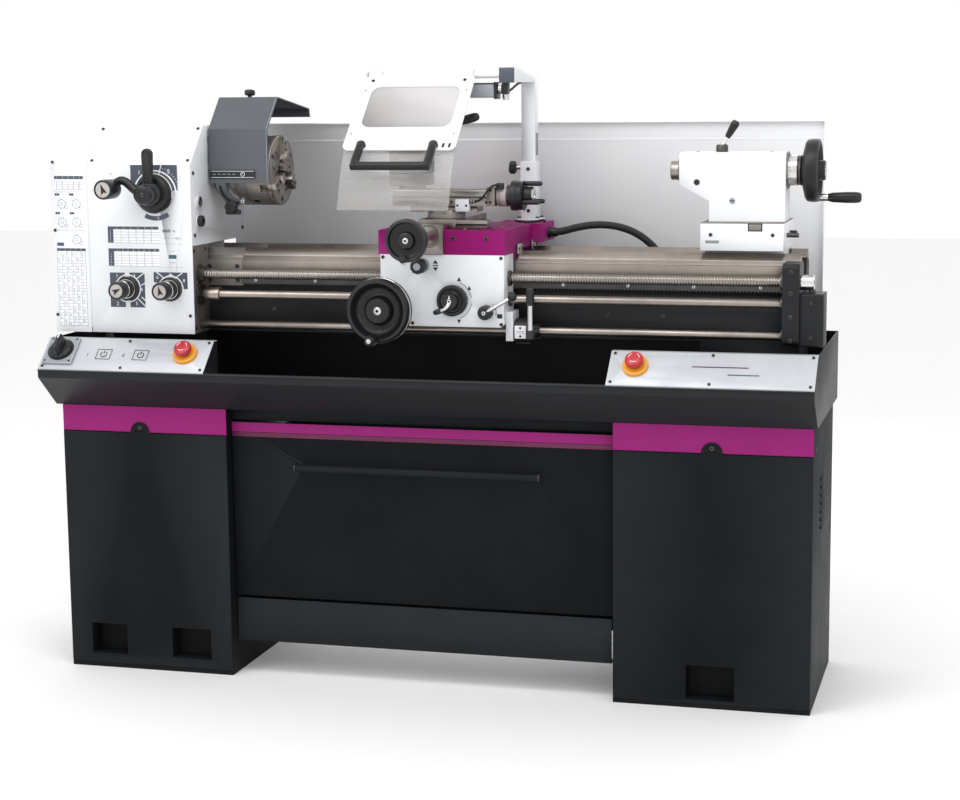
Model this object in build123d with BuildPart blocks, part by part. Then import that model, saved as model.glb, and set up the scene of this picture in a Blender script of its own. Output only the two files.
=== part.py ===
from build123d import *
import os
import math

# Engine lathe on a two-pedestal sheet-metal stand. Millimetres, +Z up.
# X runs from headstock (-) to tailstock (+), the operator stands on the -Y side.
# The origin is on the floor, midway between the four outer floor anchors.

os.makedirs("parts", exist_ok=True)

# ---------------------------------------------------------------- driving dimensions
AXIS_Z = 1150.0            # spindle axis above the floor, on Y = 0
SHEET = 3.0                # stand sheet thickness
CAB_TOP = 621.0            # top of both pedestals
CAB_Y = 215.0              # half depth of the pedestals
LC_X0, LC_X1 = -861.0, -457.0    # left pedestal
RC_X0, RC_X1 = 433.0, 861.0      # right pedestal
TRAY_X0, TRAY_X1 = -877.0, 869.0
TRAY_FRONT, TRAY_BACK = -300.0, 232.0
RIM_Z, LIP_Z = 776.0, 712.0
CON_L0, CON_L1 = -874.0, -474.0  # left console
CON_R0, CON_R1 = 434.0, 866.0    # right console
BED_X0, BED_X1 = -785.0, 814.0
BED_Y = 93.0
FLAT_Z, PEAK_Z, PEAK_Y = 960.0, 976.0, 72.0
GAP_X0, GAP_X1 = -548.0, -455.0  # removable gap bridge
HS_X0, HS_X1 = -790.0, -537.0    # headstock casting
HS_FRONT, HS_BACK, HS_TOP = -190.0, 130.0, 1254.0
ROD_Y = -145.0
LEAD_Z, LEAD_R = 921.0, 11.0
FEED_Z, FEED_R = 875.0, 9.5
CTRL_Z, CTRL_R = 806.0, 9.5
CHUCK_R, CHUCK_X0, CHUCK_X1 = 80.0, -478.0, -390.0
BORE_R = 19.0              # spindle bore
SAD_X0, SAD_X1 = -96.0, 190.0
APR_X0, APR_X1 = -92.0, 188.0
FRONT_Y = -190.0           # front face of apron and headstock plate
CS_X = 25.0                # cross-slide centre line
POST_X, POST_Y = 165.0, 150.0    # shield post
HINGE_Y, HINGE_Z = -45.0, 1361.0 # shield hinge rod
QUILL_R = 21.0
GAP = 0.3                  # running clearance between bodies


def block(x0, x1, y0, y1, z0, z1, mode=Mode.ADD):
    """A box between two corners."""
    with Locations(((x0 + x1) / 2, (y0 + y1) / 2, (z0 + z1) / 2)):
        Box(x1 - x0, y1 - y0, z1 - z0, mode=mode)


def rod_x(x0, x1, y, z, r, mode=Mode.ADD):
    """A cylinder along X."""
    with Locations(Location(((x0 + x1) / 2, y, z), (0, 90, 0))):
        Cylinder(r, x1 - x0, mode=mode)


def rod_y(y0, y1, x, z, r, mode=Mode.ADD):
    """A cylinder along Y."""
    with Locations(Location((x, (y0 + y1) / 2, z), (90, 0, 0))):
        Cylinder(r, y1 - y0, mode=mode)


def rod_z(z0, z1, x, y, r, mode=Mode.ADD):
    """A cylinder along Z."""
    with Locations((x, y, (z0 + z1) / 2)):
        Cylinder(r, z1 - z0, mode=mode)


def save(part, name):
    part.label = name
    export_step(part, f"parts/{name}.step")


# ---------------------------------------------------------------- stand
# Each pedestal is a folded sheet box with a floor plate, anchor holes, an access
# opening behind its cover and shallow foot pockets at the bottom of the front.
with BuildPart() as left_cabinet:
    block(LC_X0, LC_X1, -CAB_Y, CAB_Y, 0, CAB_TOP)
    block(LC_X0 + SHEET, LC_X1 - SHEET, -CAB_Y + SHEET, CAB_Y - SHEET, 6, CAB_TOP - SHEET, mode=Mode.SUBTRACT)
    block(LC_X0 + SHEET, LC_X1 - SHEET, -CAB_Y + SHEET, CAB_Y - SHEET, 317, 320)
    for px0, px1 in ((-810, -716), (-608, -506)):
        block(px0, px1, -CAB_Y, -172, 31, 108)
        block(px0 + 3, px1 - 3, -CAB_Y, -175, 34, 105, mode=Mode.SUBTRACT)
    block(-835, -483, -CAB_Y, -CAB_Y + SHEET, 130, 540, mode=Mode.SUBTRACT)
    block(-850, -810, -95, 95, CAB_TOP - SHEET, CAB_TOP, mode=Mode.SUBTRACT)
    block(-850, -810, -95, 95, 317, 320, mode=Mode.SUBTRACT)
    for hx in (-800, -520):
        for hy in (-160, 160):
            rod_z(0, 6, hx, hy, 7, mode=Mode.SUBTRACT)
    # treadle shaft bearing on the inner side
    rod_x(LC_X1, LC_X1 + 14, -60, 130, 22)
    rod_x(LC_X1, LC_X1 + 15, -60, 130, 12 + GAP, mode=Mode.SUBTRACT)
save(left_cabinet.part, "left_cabinet")

with BuildPart() as right_cabinet:
    block(RC_X0, RC_X1, -CAB_Y, CAB_Y, 0, CAB_TOP)
    block(RC_X0 + SHEET, RC_X1 - SHEET, -CAB_Y + SHEET, CAB_Y - SHEET, 6, CAB_TOP - SHEET, mode=Mode.SUBTRACT)
    block(591, 702, -CAB_Y, -172, 17, 98)
    block(594, 699, -CAB_Y, -175, 20, 95, mode=Mode.SUBTRACT)
    block(460, 834, -CAB_Y, -CAB_Y + SHEET, 130, 540, mode=Mode.SUBTRACT)
    for hx in (520, 800):
        for hy in (-160, 160):
            rod_z(0, 6, hx, hy, 7, mode=Mode.SUBTRACT)
    rod_x(RC_X0 - 14, RC_X0, -60, 130, 22)
    rod_x(RC_X0 - 15, RC_X0, -60, 130, 12 + GAP, mode=Mode.SUBTRACT)
save(right_cabinet.part, "right_cabinet")

# Cover plates screwed over the access openings, each with a half-round tab on top.
with BuildPart() as cabinet_covers:
    for x0, x1, tab, pockets in (
        (LC_X0 + 1, LC_X1 - 1, -669, ((-807, -719), (-605, -509))),
        (RC_X0 + 1, RC_X1 - 1, 647, ((594, 699),)),
    ):
        with BuildSketch(Plane.XZ.offset(CAB_Y)):
            with Locations(((x0 + x1) / 2, (12 + 560) / 2)):
                Rectangle(x1 - x0, 548)
            with Locations((tab, 562)):
                Circle(23)
            with Locations((tab, 572)):
                Circle(3, mode=Mode.SUBTRACT)
            for p0, p1 in pockets:
                zc = (34 + 105) / 2 if x0 < 0 else (20 + 95) / 2
                zh = 71 if x0 < 0 else 75
                with Locations(((p0 + p1) / 2, zc)):
                    Rectangle(p1 - p0, zh, mode=Mode.SUBTRACT)
        extrude(amount=3)
save(cabinet_covers.part, "cabinet_covers")

# Rectangular frame that ties the pedestals under the tray, with the two angle
# rails that carry the chip drawer.
with BuildPart() as crossbeam_frame:
    block(LC_X1, RC_X0, -176, 176, 592, CAB_TOP)
    block(LC_X1 + 20, RC_X0 - 20, -156, 156, 592, CAB_TOP, mode=Mode.SUBTRACT)
    for x0, x1, w0, w1 in ((LC_X1, LC_X1 + 3, LC_X1, LC_X1 + 18), (RC_X0 - 3, RC_X0, RC_X0 - 18, RC_X0)):
        block(x0, x1, -176, 176, 296, 592)
        block(w0, w1, -176, 176, 296, 299)
    # kick plate behind the gap between the drawer front and the treadle
    block(LC_X1, RC_X0, -168, -165, 168, 298)
save(crossbeam_frame.part, "crossbeam_frame")

# ---------------------------------------------------------------- chip tray
with BuildPart() as chip_tray:
    with BuildSketch(Plane.YZ.offset(TRAY_X0)):
        with BuildLine():
            Polyline(
                (TRAY_FRONT, LIP_Z), (TRAY_FRONT, 694), (-215, CAB_TOP), (TRAY_BACK, CAB_TOP),
                (TRAY_BACK, RIM_Z), (-230, RIM_Z), close=True,
            )
        make_face()
    extrude(amount=TRAY_X1 - TRAY_X0)
    with BuildSketch(Plane.YZ.offset(TRAY_X0 + SHEET)):
        with BuildLine():
            Polyline(
                (TRAY_FRONT + 3, 900), (TRAY_FRONT + 3, 695.4), (-213.9, CAB_TOP + 3), (TRAY_BACK - 3, CAB_TOP + 3),
                (TRAY_BACK - 3, 900), close=True,
            )
        make_face()
    extrude(amount=TRAY_X1 - TRAY_X0 - 2 * SHEET, mode=Mode.SUBTRACT)
    # chip opening over the drawer, drive-belt slot over the left pedestal
    block(-400, 376, -125, 145, 600, 640, mode=Mode.SUBTRACT)
    block(-850, -810, -95, 95, 600, 640, mode=Mode.SUBTRACT)
save(chip_tray.part, "chip_tray")

# Console housings close the front corners of the tray; their tops slope to the operator.
SLOPE = math.hypot(70, 64)
with BuildPart() as console_housings:
    for x0, x1, w0, w1 in ((CON_L0, CON_L1, CON_L1 - 3, CON_L1), (CON_R0, CON_R1, CON_R0, CON_R0 + 3)):
        with BuildSketch(Plane.YZ.offset(x0)):
            with BuildLine():
                Polyline(
                    (-297, LIP_Z), (-230.3, 773), (-213, 773), (-213, 624),
                    (-216, 626), (-216, 770), (-229, 770), (-293, 711.3), close=True,
                )
            make_face()
        extrude(amount=x1 - x0)
        with BuildSketch(Plane.YZ.offset(w0)):
            with BuildLine():
                Polyline((-296.5, LIP_Z), (-230.3, 772.5), (-214, 772.5), (-214, 626), (-296.5, 696.6), close=True)
            make_face()
        extrude(amount=w1 - w0)
save(console_housings.part, "console_housings")

# Instrument plates on the slopes, with the raised base of the main switch and the
# collars of the two emergency stops.
def slope_plane(x, z):
    """The plane of the console top at height z, its local Z square to the slope."""
    y = -300 + (z - 712) * 70 / 64
    return Plane(origin=(x, y, z + 1.5), x_dir=(1, 0, 0), z_dir=(0, -64 / SLOPE, 70 / SLOPE))


with BuildPart() as console_plates:
    for x0, x1 in ((TRAY_X0, CON_L1), (CON_R0, TRAY_X1)):
        with BuildSketch(Plane.YZ.offset(x0)):
            with BuildLine():
                Polyline((-300, 712), (-300, 715), (-231.5, 777.6), (-213, 777.6), (-213, 776), (-230, 776), close=True)
            make_face()
        extrude(amount=x1 - x0)
    with Locations(slope_plane(-833, 747)):
        Box(72, 76, 8, align=(Align.CENTER, Align.CENTER, Align.MIN))
        Cylinder(7, 9, align=(Align.CENTER, Align.CENTER, Align.MIN), mode=Mode.SUBTRACT)
    for bx in (-530, 491):
        with Locations(slope_plane(bx, 747)):
            Cylinder(27, 10, align=(Align.CENTER, Align.CENTER, Align.MIN))
            Cylinder(12, 12, align=(Align.CENTER, Align.CENTER, Align.MIN), mode=Mode.SUBTRACT)
save(console_plates.part, "console_plates")

with BuildPart() as main_switch_knob:
    with Locations(slope_plane(-833, 747).offset(8 + GAP)):
        Cylinder(27, 12, align=(Align.CENTER, Align.CENTER, Align.MIN))
        Box(14, 50, 30, align=(Align.CENTER, Align.CENTER, Align.MIN))
    with Locations(slope_plane(-833, 747).offset(4)):
        Cylinder(6, 6, align=(Align.CENTER, Align.CENTER, Align.MIN))
save(main_switch_knob.part, "main_switch_knob")


def estop(x):
    """Mushroom button: a stem in the collar and a wide dished head."""
    with Locations(slope_plane(x, 747).offset(4)):
        Cylinder(11.5, 16, align=(Align.CENTER, Align.CENTER, Align.MIN))
    with Locations(slope_plane(x, 747).offset(18)):
        Cylinder(20, 14, align=(Align.CENTER, Align.CENTER, Align.MIN))


with BuildPart() as estop_left:
    estop(-530)
save(estop_left.part, "estop_left")

with BuildPart() as estop_right:
    estop(491)
save(estop_right.part, "estop_right")

# Drawer: tall front with a bar handle, and an open pan behind it.
with BuildPart() as chip_drawer:
    block(-454, 430, -189, -186, 186, 589)
    block(-436, 412, -186, 150, 299, 540)
    block(-434, 410, -183, 148, 301, 541, mode=Mode.SUBTRACT)
    for hx in (-280, 256):
        rod_y(-212, -189, hx, 493, 6)
    rod_x(-292, 268, -214, 493, 9)
save(chip_drawer.part, "chip_drawer")

# Foot-brake treadle: a wide strip on two arms and a cross shaft.
with BuildPart() as brake_treadle:
    block(-450, 426, -192, -189, 80, 180)
    block(-450, 426, -189, -165, 80, 83)
    for ax in (-400, 376):
        block(ax - 6, ax + 6, -189, -48, 83, 142)
    rod_x(-456, 432, -60, 130, 12)
save(brake_treadle.part, "brake_treadle")

with BuildPart() as splash_guard:
    block(-603, 835, TRAY_BACK, TRAY_BACK + 3, 740, 1254)
    block(-603, 835, TRAY_BACK - 12, TRAY_BACK, 1251, 1254)
    block(832, 835, TRAY_BACK - 24, TRAY_BACK, 778, 1254)
save(splash_guard.part, "splash_guard")


# ---------------------------------------------------------------- bed
def rail_points(side, bottom):
    """Half of the bed section: outer wall, V-way and inner flat."""
    pts = [
        (-BED_Y, bottom), (-BED_Y, 950), (-88, 950), (-88, FLAT_Z), (-PEAK_Y, PEAK_Z), (-56, FLAT_Z),
        (-40, FLAT_Z), (-40, bottom),
    ]
    return [(side * y, z) for y, z in pts]


with BuildPart() as bed:
    for side in (1, -1):
        with BuildSketch(Plane.YZ.offset(BED_X0)):
            with BuildLine():
                Polyline(*rail_points(side, 785), close=True)
            make_face()
        extrude(amount=BED_X1 - BED_X0)
    for rx in range(-760, 800, 130):
        block(rx, rx + 16, -41, 41, 800, 935)
    block(BED_X0, -560, -BED_Y, BED_Y, CAB_TOP + 3, 800)
    block(600, BED_X1, -BED_Y, BED_Y, CAB_TOP + 3, 800)
    block(GAP_X0, GAP_X1, -BED_Y - 1, BED_Y + 1, 890, 990, mode=Mode.SUBTRACT)
    # hollow feet, cored from the inside
    block(BED_X0 + 20, -580, -BED_Y + 20, BED_Y - 20, CAB_TOP + 3, 780, mode=Mode.SUBTRACT)
    block(620, BED_X1 - 20, -BED_Y + 20, BED_Y - 20, CAB_TOP + 3, 780, mode=Mode.SUBTRACT)
save(bed.part, "bed")

with BuildPart() as gap_bridge:
    for side in (1, -1):
        with BuildSketch(Plane.YZ.offset(GAP_X0)):
            with BuildLine():
                Polyline(*rail_points(side, 890), close=True)
            make_face()
        extrude(amount=GAP_X1 - GAP_X0)
    block(GAP_X0, GAP_X1, -41, 41, 890, 915)
save(gap_bridge.part, "gap_bridge")

with BuildPart() as gear_rack:
    block(GAP_X1, 780, -103, -BED_Y, 893, 911)
save(gear_rack.part, "gear_rack")

with BuildPart() as rod_end_bracket:
    block(786, 822, -175, -BED_Y, 789, 962)
    fillet(rod_end_bracket.edges().filter_by(Axis.X), 12)
    rod_x(780, 830, ROD_Y, LEAD_Z, LEAD_R + GAP, mode=Mode.SUBTRACT)
    rod_x(780, 818, ROD_Y, FEED_Z, FEED_R + GAP, mode=Mode.SUBTRACT)
    rod_x(780, 818, ROD_Y, CTRL_Z, CTRL_R + GAP, mode=Mode.SUBTRACT)
save(rod_end_bracket.part, "rod_end_bracket")

with BuildPart() as limit_switch_box:
    block(822, 872, -170, -98, 786, 899)
    fillet(limit_switch_box.edges().filter_by(Axis.X), 5)
save(limit_switch_box.part, "limit_switch_box")

# ---------------------------------------------------------------- headstock
with BuildPart() as headstock_casting:
    with BuildSketch(Plane.YZ.offset(HS_X0)):
        with BuildLine():
            Polyline(
                (-187, 987), (-187, 1170), (-109, HS_TOP), (HS_BACK, HS_TOP), (HS_BACK, 987), close=True,
            )
        make_face()
    extrude(amount=HS_X1 - HS_X0)
    block(-770, -557, -168, 112, 1005, 1165, mode=Mode.SUBTRACT)
    block(-770, -557, -95, 112, 1160, 1236, mode=Mode.SUBTRACT)
    block(-785, -560, -54, 54, FLAT_Z, 987)
    # bearing seats
    rod_x(HS_X1 - 26, HS_X1 + 1, 0, AXIS_Z, 60, mode=Mode.SUBTRACT)
    rod_x(HS_X0 - 1, HS_X0 + 26, 0, AXIS_Z, 52, mode=Mode.SUBTRACT)
    # lever shaft bore in the front wall
    rod_y(-187, -173, -623, 1105, 8 + GAP, mode=Mode.SUBTRACT)
    # hinge knuckles of the end cover
    for kz in (1020, 1150):
        block(-791, -772, HS_BACK, 142, kz, kz + 30)
        rod_z(kz, kz + 30, -791, 136, 6)
        rod_z(kz - 5, kz + 35, -791, 136, 2.8, mode=Mode.SUBTRACT)
    # pivot boss of the chuck guard on the right face
    rod_x(HS_X1, HS_X1 + 3, 100, 1222, 14)
    rod_x(HS_X1, HS_X1 + 14, 100, 1222, 7)
    # trunnions for the oil sight glasses
    rod_x(HS_X1, HS_X1 + 2, -150, 1084, 13)
    rod_x(HS_X1, HS_X1 + 2, -150, 1041, 13)
save(headstock_casting.part, "headstock_casting")

with BuildPart() as headstock_front_plate:
    block(HS_X0, HS_X1, HS_FRONT, -187, 787, 1170)
    rod_y(HS_FRONT, -187, -623, 1105, 8 + GAP, mode=Mode.SUBTRACT)
    for kx in (-698, -592):
        rod_y(HS_FRONT, -187, kx, 889, 8 + GAP, mode=Mode.SUBTRACT)
save(headstock_front_plate.part, "headstock_front_plate")

with BuildPart() as feed_gearbox:
    block(-788, -540, -187, -BED_Y, 787, 987)
    block(-776, -556, -170, -105, 830, 975, mode=Mode.SUBTRACT)
    for kx in (-698, -592):
        rod_y(-187, -172, kx, 889, 8 + GAP, mode=Mode.SUBTRACT)
    rod_x(-562, -539, ROD_Y, LEAD_Z, LEAD_R + GAP, mode=Mode.SUBTRACT)
    rod_x(-562, -539, ROD_Y, FEED_Z, FEED_R + GAP, mode=Mode.SUBTRACT)
    rod_x(-562, -539, ROD_Y, CTRL_Z, CTRL_R + GAP, mode=Mode.SUBTRACT)
save(feed_gearbox.part, "feed_gearbox")

with BuildPart() as spindle_bearings:
    rod_x(HS_X1 - 26, HS_X1 - 1, 0, AXIS_Z, 60)
    rod_x(HS_X1 - 27, HS_X1, 0, AXIS_Z, 42 + 0.05, mode=Mode.SUBTRACT)
    rod_x(HS_X0 + 1, HS_X0 + 26, 0, AXIS_Z, 52)
    rod_x(HS_X0, HS_X0 + 27, 0, AXIS_Z, 36 + 0.05, mode=Mode.SUBTRACT)
save(spindle_bearings.part, "spindle_bearings")

# End cover over the belts and change gears: a deep pan hinged at its rear edge.
with BuildPart() as end_gear_cover:
    with BuildSketch(Plane.YZ.offset(-881)):
        with BuildLine():
            Polyline((-190, 787), (-190, 1170), (-111, HS_TOP), (HS_BACK, HS_TOP), (HS_BACK, 787), close=True)
        make_face()
    extrude(amount=89)
    with BuildSketch(Plane.YZ.offset(-878)):
        with BuildLine():
            Polyline((-187, 700), (-187, 1168.8), (-109.7, 1251), (HS_BACK - 3, 1251), (HS_BACK - 3, 700), close=True)
        make_face()
    extrude(amount=90, mode=Mode.SUBTRACT)
    rod_x(-885, -870, 0, AXIS_Z, 30, mode=Mode.SUBTRACT)
    for kz in (1050 + GAP, 1180 + GAP):
        block(-810, -791, 130, 142, kz, kz + 30)
        rod_z(kz, kz + 30, -791, 136, 6)
        rod_z(kz - 30, kz + 2, -791, 136, 2.5)
    rod_z(787, 790, -835, 120, 4, mode=Mode.SUBTRACT)
save(end_gear_cover.part, "end_gear_cover")

# Hollow spindle with nose flange, rear belt pulley and gear.
with BuildPart() as spindle:
    rod_x(-566, -500, 0, AXIS_Z, 42)
    rod_x(-793, -566, 0, AXIS_Z, 36)
    rod_x(-872, -793, 0, AXIS_Z, 28)
    rod_x(-535, -478, 0, AXIS_Z, 42)
    rod_x(-498, -478, 0, AXIS_Z, 62)
    rod_x(-700, -670, 0, AXIS_Z, 70)
    rod_x(-640, -615, 0, AXIS_Z, 55)
    rod_x(-842, -818, 0, AXIS_Z, 80)
    rod_x(-880, -470, 0, AXIS_Z, BORE_R, mode=Mode.SUBTRACT)
save(spindle.part, "spindle")

with BuildPart() as drive_motor:
    rod_x(-790, -520, 0, 440, 92)
    rod_x(-520, -500, 0, 440, 84)
    block(-760, -560, -80, 80, 320, 370)
    rod_x(-848, -790, 0, 440, 14)
    rod_x(-842, -818, 0, 440, 50)
save(drive_motor.part, "drive_motor")

with BuildPart() as drive_belts:
    with BuildSketch(Plane.YZ.offset(-840)):
        with Locations((0, 440)):
            Circle(59.5)
        with Locations((0, AXIS_Z)):
            Circle(89.5)
        make_hull()
    extrude(amount=20)
    with BuildSketch(Plane.YZ.offset(-841)):
        with Locations((0, 440)):
            Circle(50.4)
        with Locations((0, AXIS_Z)):
            Circle(80.4)
        make_hull()
    extrude(amount=22, mode=Mode.SUBTRACT)
save(drive_belts.part, "drive_belts")

# ---------------------------------------------------------------- chuck
JAW_W = 20.0
with BuildPart() as chuck_body:
    rod_x(CHUCK_X0, CHUCK_X1, 0, AXIS_Z, CHUCK_R)
    chamfer(chuck_body.edges().filter_by(GeomType.CIRCLE), 2)
    rod_x(CHUCK_X0 - 5, CHUCK_X1 + 5, 0, AXIS_Z, 24, mode=Mode.SUBTRACT)
    for k in range(3):
        a = 90 + 120 * k
        with Locations(Location((CHUCK_X1 - 13, 0, AXIS_Z), (a, 0, 0))):
            with Locations((0, 55, 0)):
                Box(27, 110, JAW_W + 2 * GAP, mode=Mode.SUBTRACT)
    # key squares for the scroll
    for k in range(3):
        a = math.radians(30 + 120 * k)
        with Locations(Location((CHUCK_X0 + 30, 0, AXIS_Z), (30 + 120 * k, 0, 0))):
            with Locations((0, 74, 0)):
                Box(12, 14, 12, mode=Mode.SUBTRACT)
save(chuck_body.part, "chuck_body")


def jaw(k):
    """One stepped jaw; radial distance along local Y."""
    a = 90 + 120 * k
    with Locations(Location((0, 0, AXIS_Z), (a, 0, 0))):
        with Locations(((CHUCK_X1 - 26 + CHUCK_X1) / 2, 50.5, 0)):
            Box(26, 51, JAW_W)
        with Locations(((CHUCK_X1 + CHUCK_X1 + 18) / 2, 34, 0)):
            Box(18, 18, JAW_W)
        with Locations(((CHUCK_X1 + CHUCK_X1 + 11) / 2, 50.5, 0)):
            Box(11, 51, JAW_W)


with BuildPart() as jaw_1:
    jaw(0)
save(jaw_1.part, "jaw_1")
with BuildPart() as jaw_2:
    jaw(1)
save(jaw_2.part, "jaw_2")
with BuildPart() as jaw_3:
    jaw(2)
save(jaw_3.part, "jaw_3")

# Folded sheet guard over the chuck, hung on an arm from the headstock.
with BuildPart() as chuck_guard:
    with BuildSketch(Plane.YZ.offset(-532)):
        with BuildLine():
            Polyline(
                (-90, 1124), (-90, 1247), (-20, 1318), (190, 1290), (196, 1270), (193, 1269), (187.5, 1287.3),
                (-18.9, 1314.8), (-87, 1245.8), (-87, 1124), close=True,
            )
        make_face()
    extrude(amount=144)
    with BuildSketch(Plane.YZ.offset(-532)):
        with BuildLine():
            Polyline(
                (-88, 1140), (-88, 1246), (-19, 1316), (130, 1296), (125, 1200), (80, 1200), (40, 1240),
                (-20, 1245), (-66, 1212), (-72, 1140), close=True,
            )
        make_face()
    extrude(amount=3)
    rod_x(-532, -524, 100, 1222, 16)
    rod_x(-535, -520, 100, 1222, 7 + GAP, mode=Mode.SUBTRACT)
save(chuck_guard.part, "chuck_guard")

# ---------------------------------------------------------------- headstock controls
with BuildPart() as speed_lever:
    rod_y(-212, HS_FRONT - GAP, -623, 1105, 46)
    rod_y(-238, -212, -623, 1105, 26)
    with BuildSketch(Plane.XY.offset(1105)):
        with Locations((-623, -226)):
            Circle(11)
    extrude(amount=102)
    rod_y(HS_FRONT - GAP, -175, -623, 1105, 8)
    rod_y(-240, -170, -623, 1105, 5 + GAP, mode=Mode.SUBTRACT)
save(speed_lever.part, "speed_lever")

with BuildPart() as range_lever:
    rod_y(-264, -241, -623, 1105, 22)
    rod_y(-241, -176, -623, 1105, 5)
    with BuildSketch(Plane.XZ.offset(244)):
        with BuildLine():
            Polyline((-617, 1092), (-617, 1118), (-697, 1128), (-703, 1108), close=True)
        make_face()
    extrude(amount=14)
    rod_y(-300, -244, -700, 1118, 22)
save(range_lever.part, "range_lever")


def feed_knob(x):
    """Selector knob with a flange and a short shaft."""
    rod_y(-202, HS_FRONT - GAP, x, 889, 27)
    rod_y(-255, -202, x, 889, 20)
    rod_y(HS_FRONT - GAP, -174, x, 889, 8)


with BuildPart() as feed_knob_left:
    feed_knob(-698)
save(feed_knob_left.part, "feed_knob_left")
with BuildPart() as feed_knob_right:
    feed_knob(-592)
save(feed_knob_right.part, "feed_knob_right")

# ---------------------------------------------------------------- long rods
with BuildPart() as leadscrew:
    rod_x(-560, 822, ROD_Y, LEAD_Z, LEAD_R)
    rod_x(822 + GAP, 850, ROD_Y, LEAD_Z, 16)
    rod_x(821, 824, ROD_Y, LEAD_Z, LEAD_R)
    rod_x(-538, -526, ROD_Y, LEAD_Z, 17)
save(leadscrew.part, "leadscrew")

with BuildPart() as feed_rod:
    rod_x(-560, 816, ROD_Y, FEED_Z, FEED_R)
    rod_x(-527, -490, ROD_Y, FEED_Z, 16)
save(feed_rod.part, "feed_rod")

with BuildPart() as control_rod:
    rod_x(-560, 816, ROD_Y, CTRL_Z, CTRL_R)
save(control_rod.part, "control_rod")

# ---------------------------------------------------------------- carriage
with BuildPart() as saddle:
    with BuildSketch(Plane.YZ.offset(SAD_X0)):
        with BuildLine():
            Polyline(
                (FRONT_Y, 1027), (FRONT_Y, 974), (-95, 974), (-95, 961), (-87.42, 961), (-72, 976.42), (-56.58, 961),
                (-50, 961), (-50, 978), (50, 978), (50, 961), (56.58, 961), (72, 976.42), (87.42, 961), (95, 961),
                (95, 978), (110, 978), (110, 1027), close=True,
            )
        make_face()
    extrude(amount=SAD_X1 - SAD_X0)
    # rear wing that carries the shield post
    block(100, 215, 60, 178, 985, 1027)
    # guide key for the cross-slide
    block(0, 50, -155, 176, 1026, 1034.6)
    # cross-feed screw bracket on the front face
    rod_y(-318, FRONT_Y, CS_X - 3, 1017, 22)
    block(CS_X - 35, CS_X + 29, -200, FRONT_Y, 976, 1040)
    rod_y(-320, -302, CS_X - 3, 1017, 8 + GAP, mode=Mode.SUBTRACT)
save(saddle.part, "saddle")

with BuildPart() as apron:
    block(APR_X0, APR_X1, FRONT_Y, -106, 817, 974)
    chamfer(apron.edges().filter_by(Axis.Y).sort_by(Axis.Z)[:2], 8)
    rod_x(APR_X0 - 1, APR_X1 + 1, ROD_Y, LEAD_Z, LEAD_R + GAP, mode=Mode.SUBTRACT)
    rod_x(APR_X0 - 1, APR_X1 + 1, ROD_Y, FEED_Z, FEED_R + GAP, mode=Mode.SUBTRACT)
    # boss of the carriage handwheel and bracket of the control lever
    rod_y(-236, FRONT_Y, -72, 858, 30)
    rod_y(-240, -175, -72, 858, 8 + GAP, mode=Mode.SUBTRACT)
    block(APR_X1 - 1, 203, -172, -118, 786, 850)
    rod_x(APR_X1 - 40, 210, ROD_Y, CTRL_Z, CTRL_R + GAP, mode=Mode.SUBTRACT)
    for bx, bz, br in ((73, 875, 8.3), (148, 850, 6.3), (5, 951, 6.3)):
        rod_y(FRONT_Y - 1, -165, bx, bz, br, mode=Mode.SUBTRACT)
save(apron.part, "apron")

# Post, arm and hinge rod of the swing-up shield.
with BuildPart() as shield_arm:
    block(POST_X - 16, POST_X + 16, POST_Y - 16, POST_Y + 16, 1035, 1377)
    block(POST_X - 28, POST_X + 28, POST_Y - 26, POST_Y + 26, 1027, 1035)
    block(POST_X - 16, POST_X + 16, -62, POST_Y + 16, 1345, 1377)
    rod_x(-160, POST_X - 16, HINGE_Y, HINGE_Z, 7)
save(shield_arm.part, "shield_arm")


def wheel(x, z, y0, y1, r_out, spoke=True):
    """Dished handwheel on a Y axis: rim, web and hub."""
    rod_y(y0, y1, x, z, r_out)
    rod_y(y0 - 1, y0 + (y1 - y0) * 0.55, x, z, r_out * 0.8, mode=Mode.SUBTRACT)
    rod_y(y0, y1, x, z, r_out * 0.3)


with BuildPart() as carriage_handwheel:
    wheel(-72, 858, -286, -246, 71)
    rod_y(-246, -236 - GAP, -72, 858, 34)
    rod_y(-240, -178, -72, 858, 8)
    rod_y(-292, -280, -72, 800, 9)
    rod_y(-345, -292, -72, 800, 12)
save(carriage_handwheel.part, "carriage_handwheel")

with BuildPart() as cross_handwheel:
    wheel(CS_X - 3, 1017, -372, -352, 46)
    rod_y(-352, -318 - GAP, CS_X - 3, 1017, 32)
    rod_y(-322, -304, CS_X - 3, 1017, 8)
    rod_y(-376, -360, CS_X - 3, 981, 6)
    rod_y(-398, -376, CS_X - 3, 981, 9)
save(cross_handwheel.part, "cross_handwheel")

with BuildPart() as cross_slide:
    block(CS_X - 43, CS_X + 43, -140, 120, 1027, 1048)
    block(-GAP, 50 + GAP, -142, 122, 1026, 1035, mode=Mode.SUBTRACT)
save(cross_slide.part, "cross_slide")

with BuildPart() as compound_base:
    rod_z(1048, 1066, 27, -70, 42)
    block(-50, 104, -97, -43, 1062, 1075)
    block(-50, 104, -82, -58, 1074, 1082)
save(compound_base.part, "compound_base")

with BuildPart() as top_slide:
    block(-89, 147, -105, -35, 1075, 1112)
    block(-90, 148, -82 - GAP, -58 + GAP, 1074, 1082 + GAP, mode=Mode.SUBTRACT)
    rod_z(1112, 1119, -53, -70, 30)
    rod_z(1119, 1245, -53, -70, 9)
    rod_x(130, 150, -70, 1097, 8 + GAP, mode=Mode.SUBTRACT)
save(top_slide.part, "top_slide")

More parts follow.
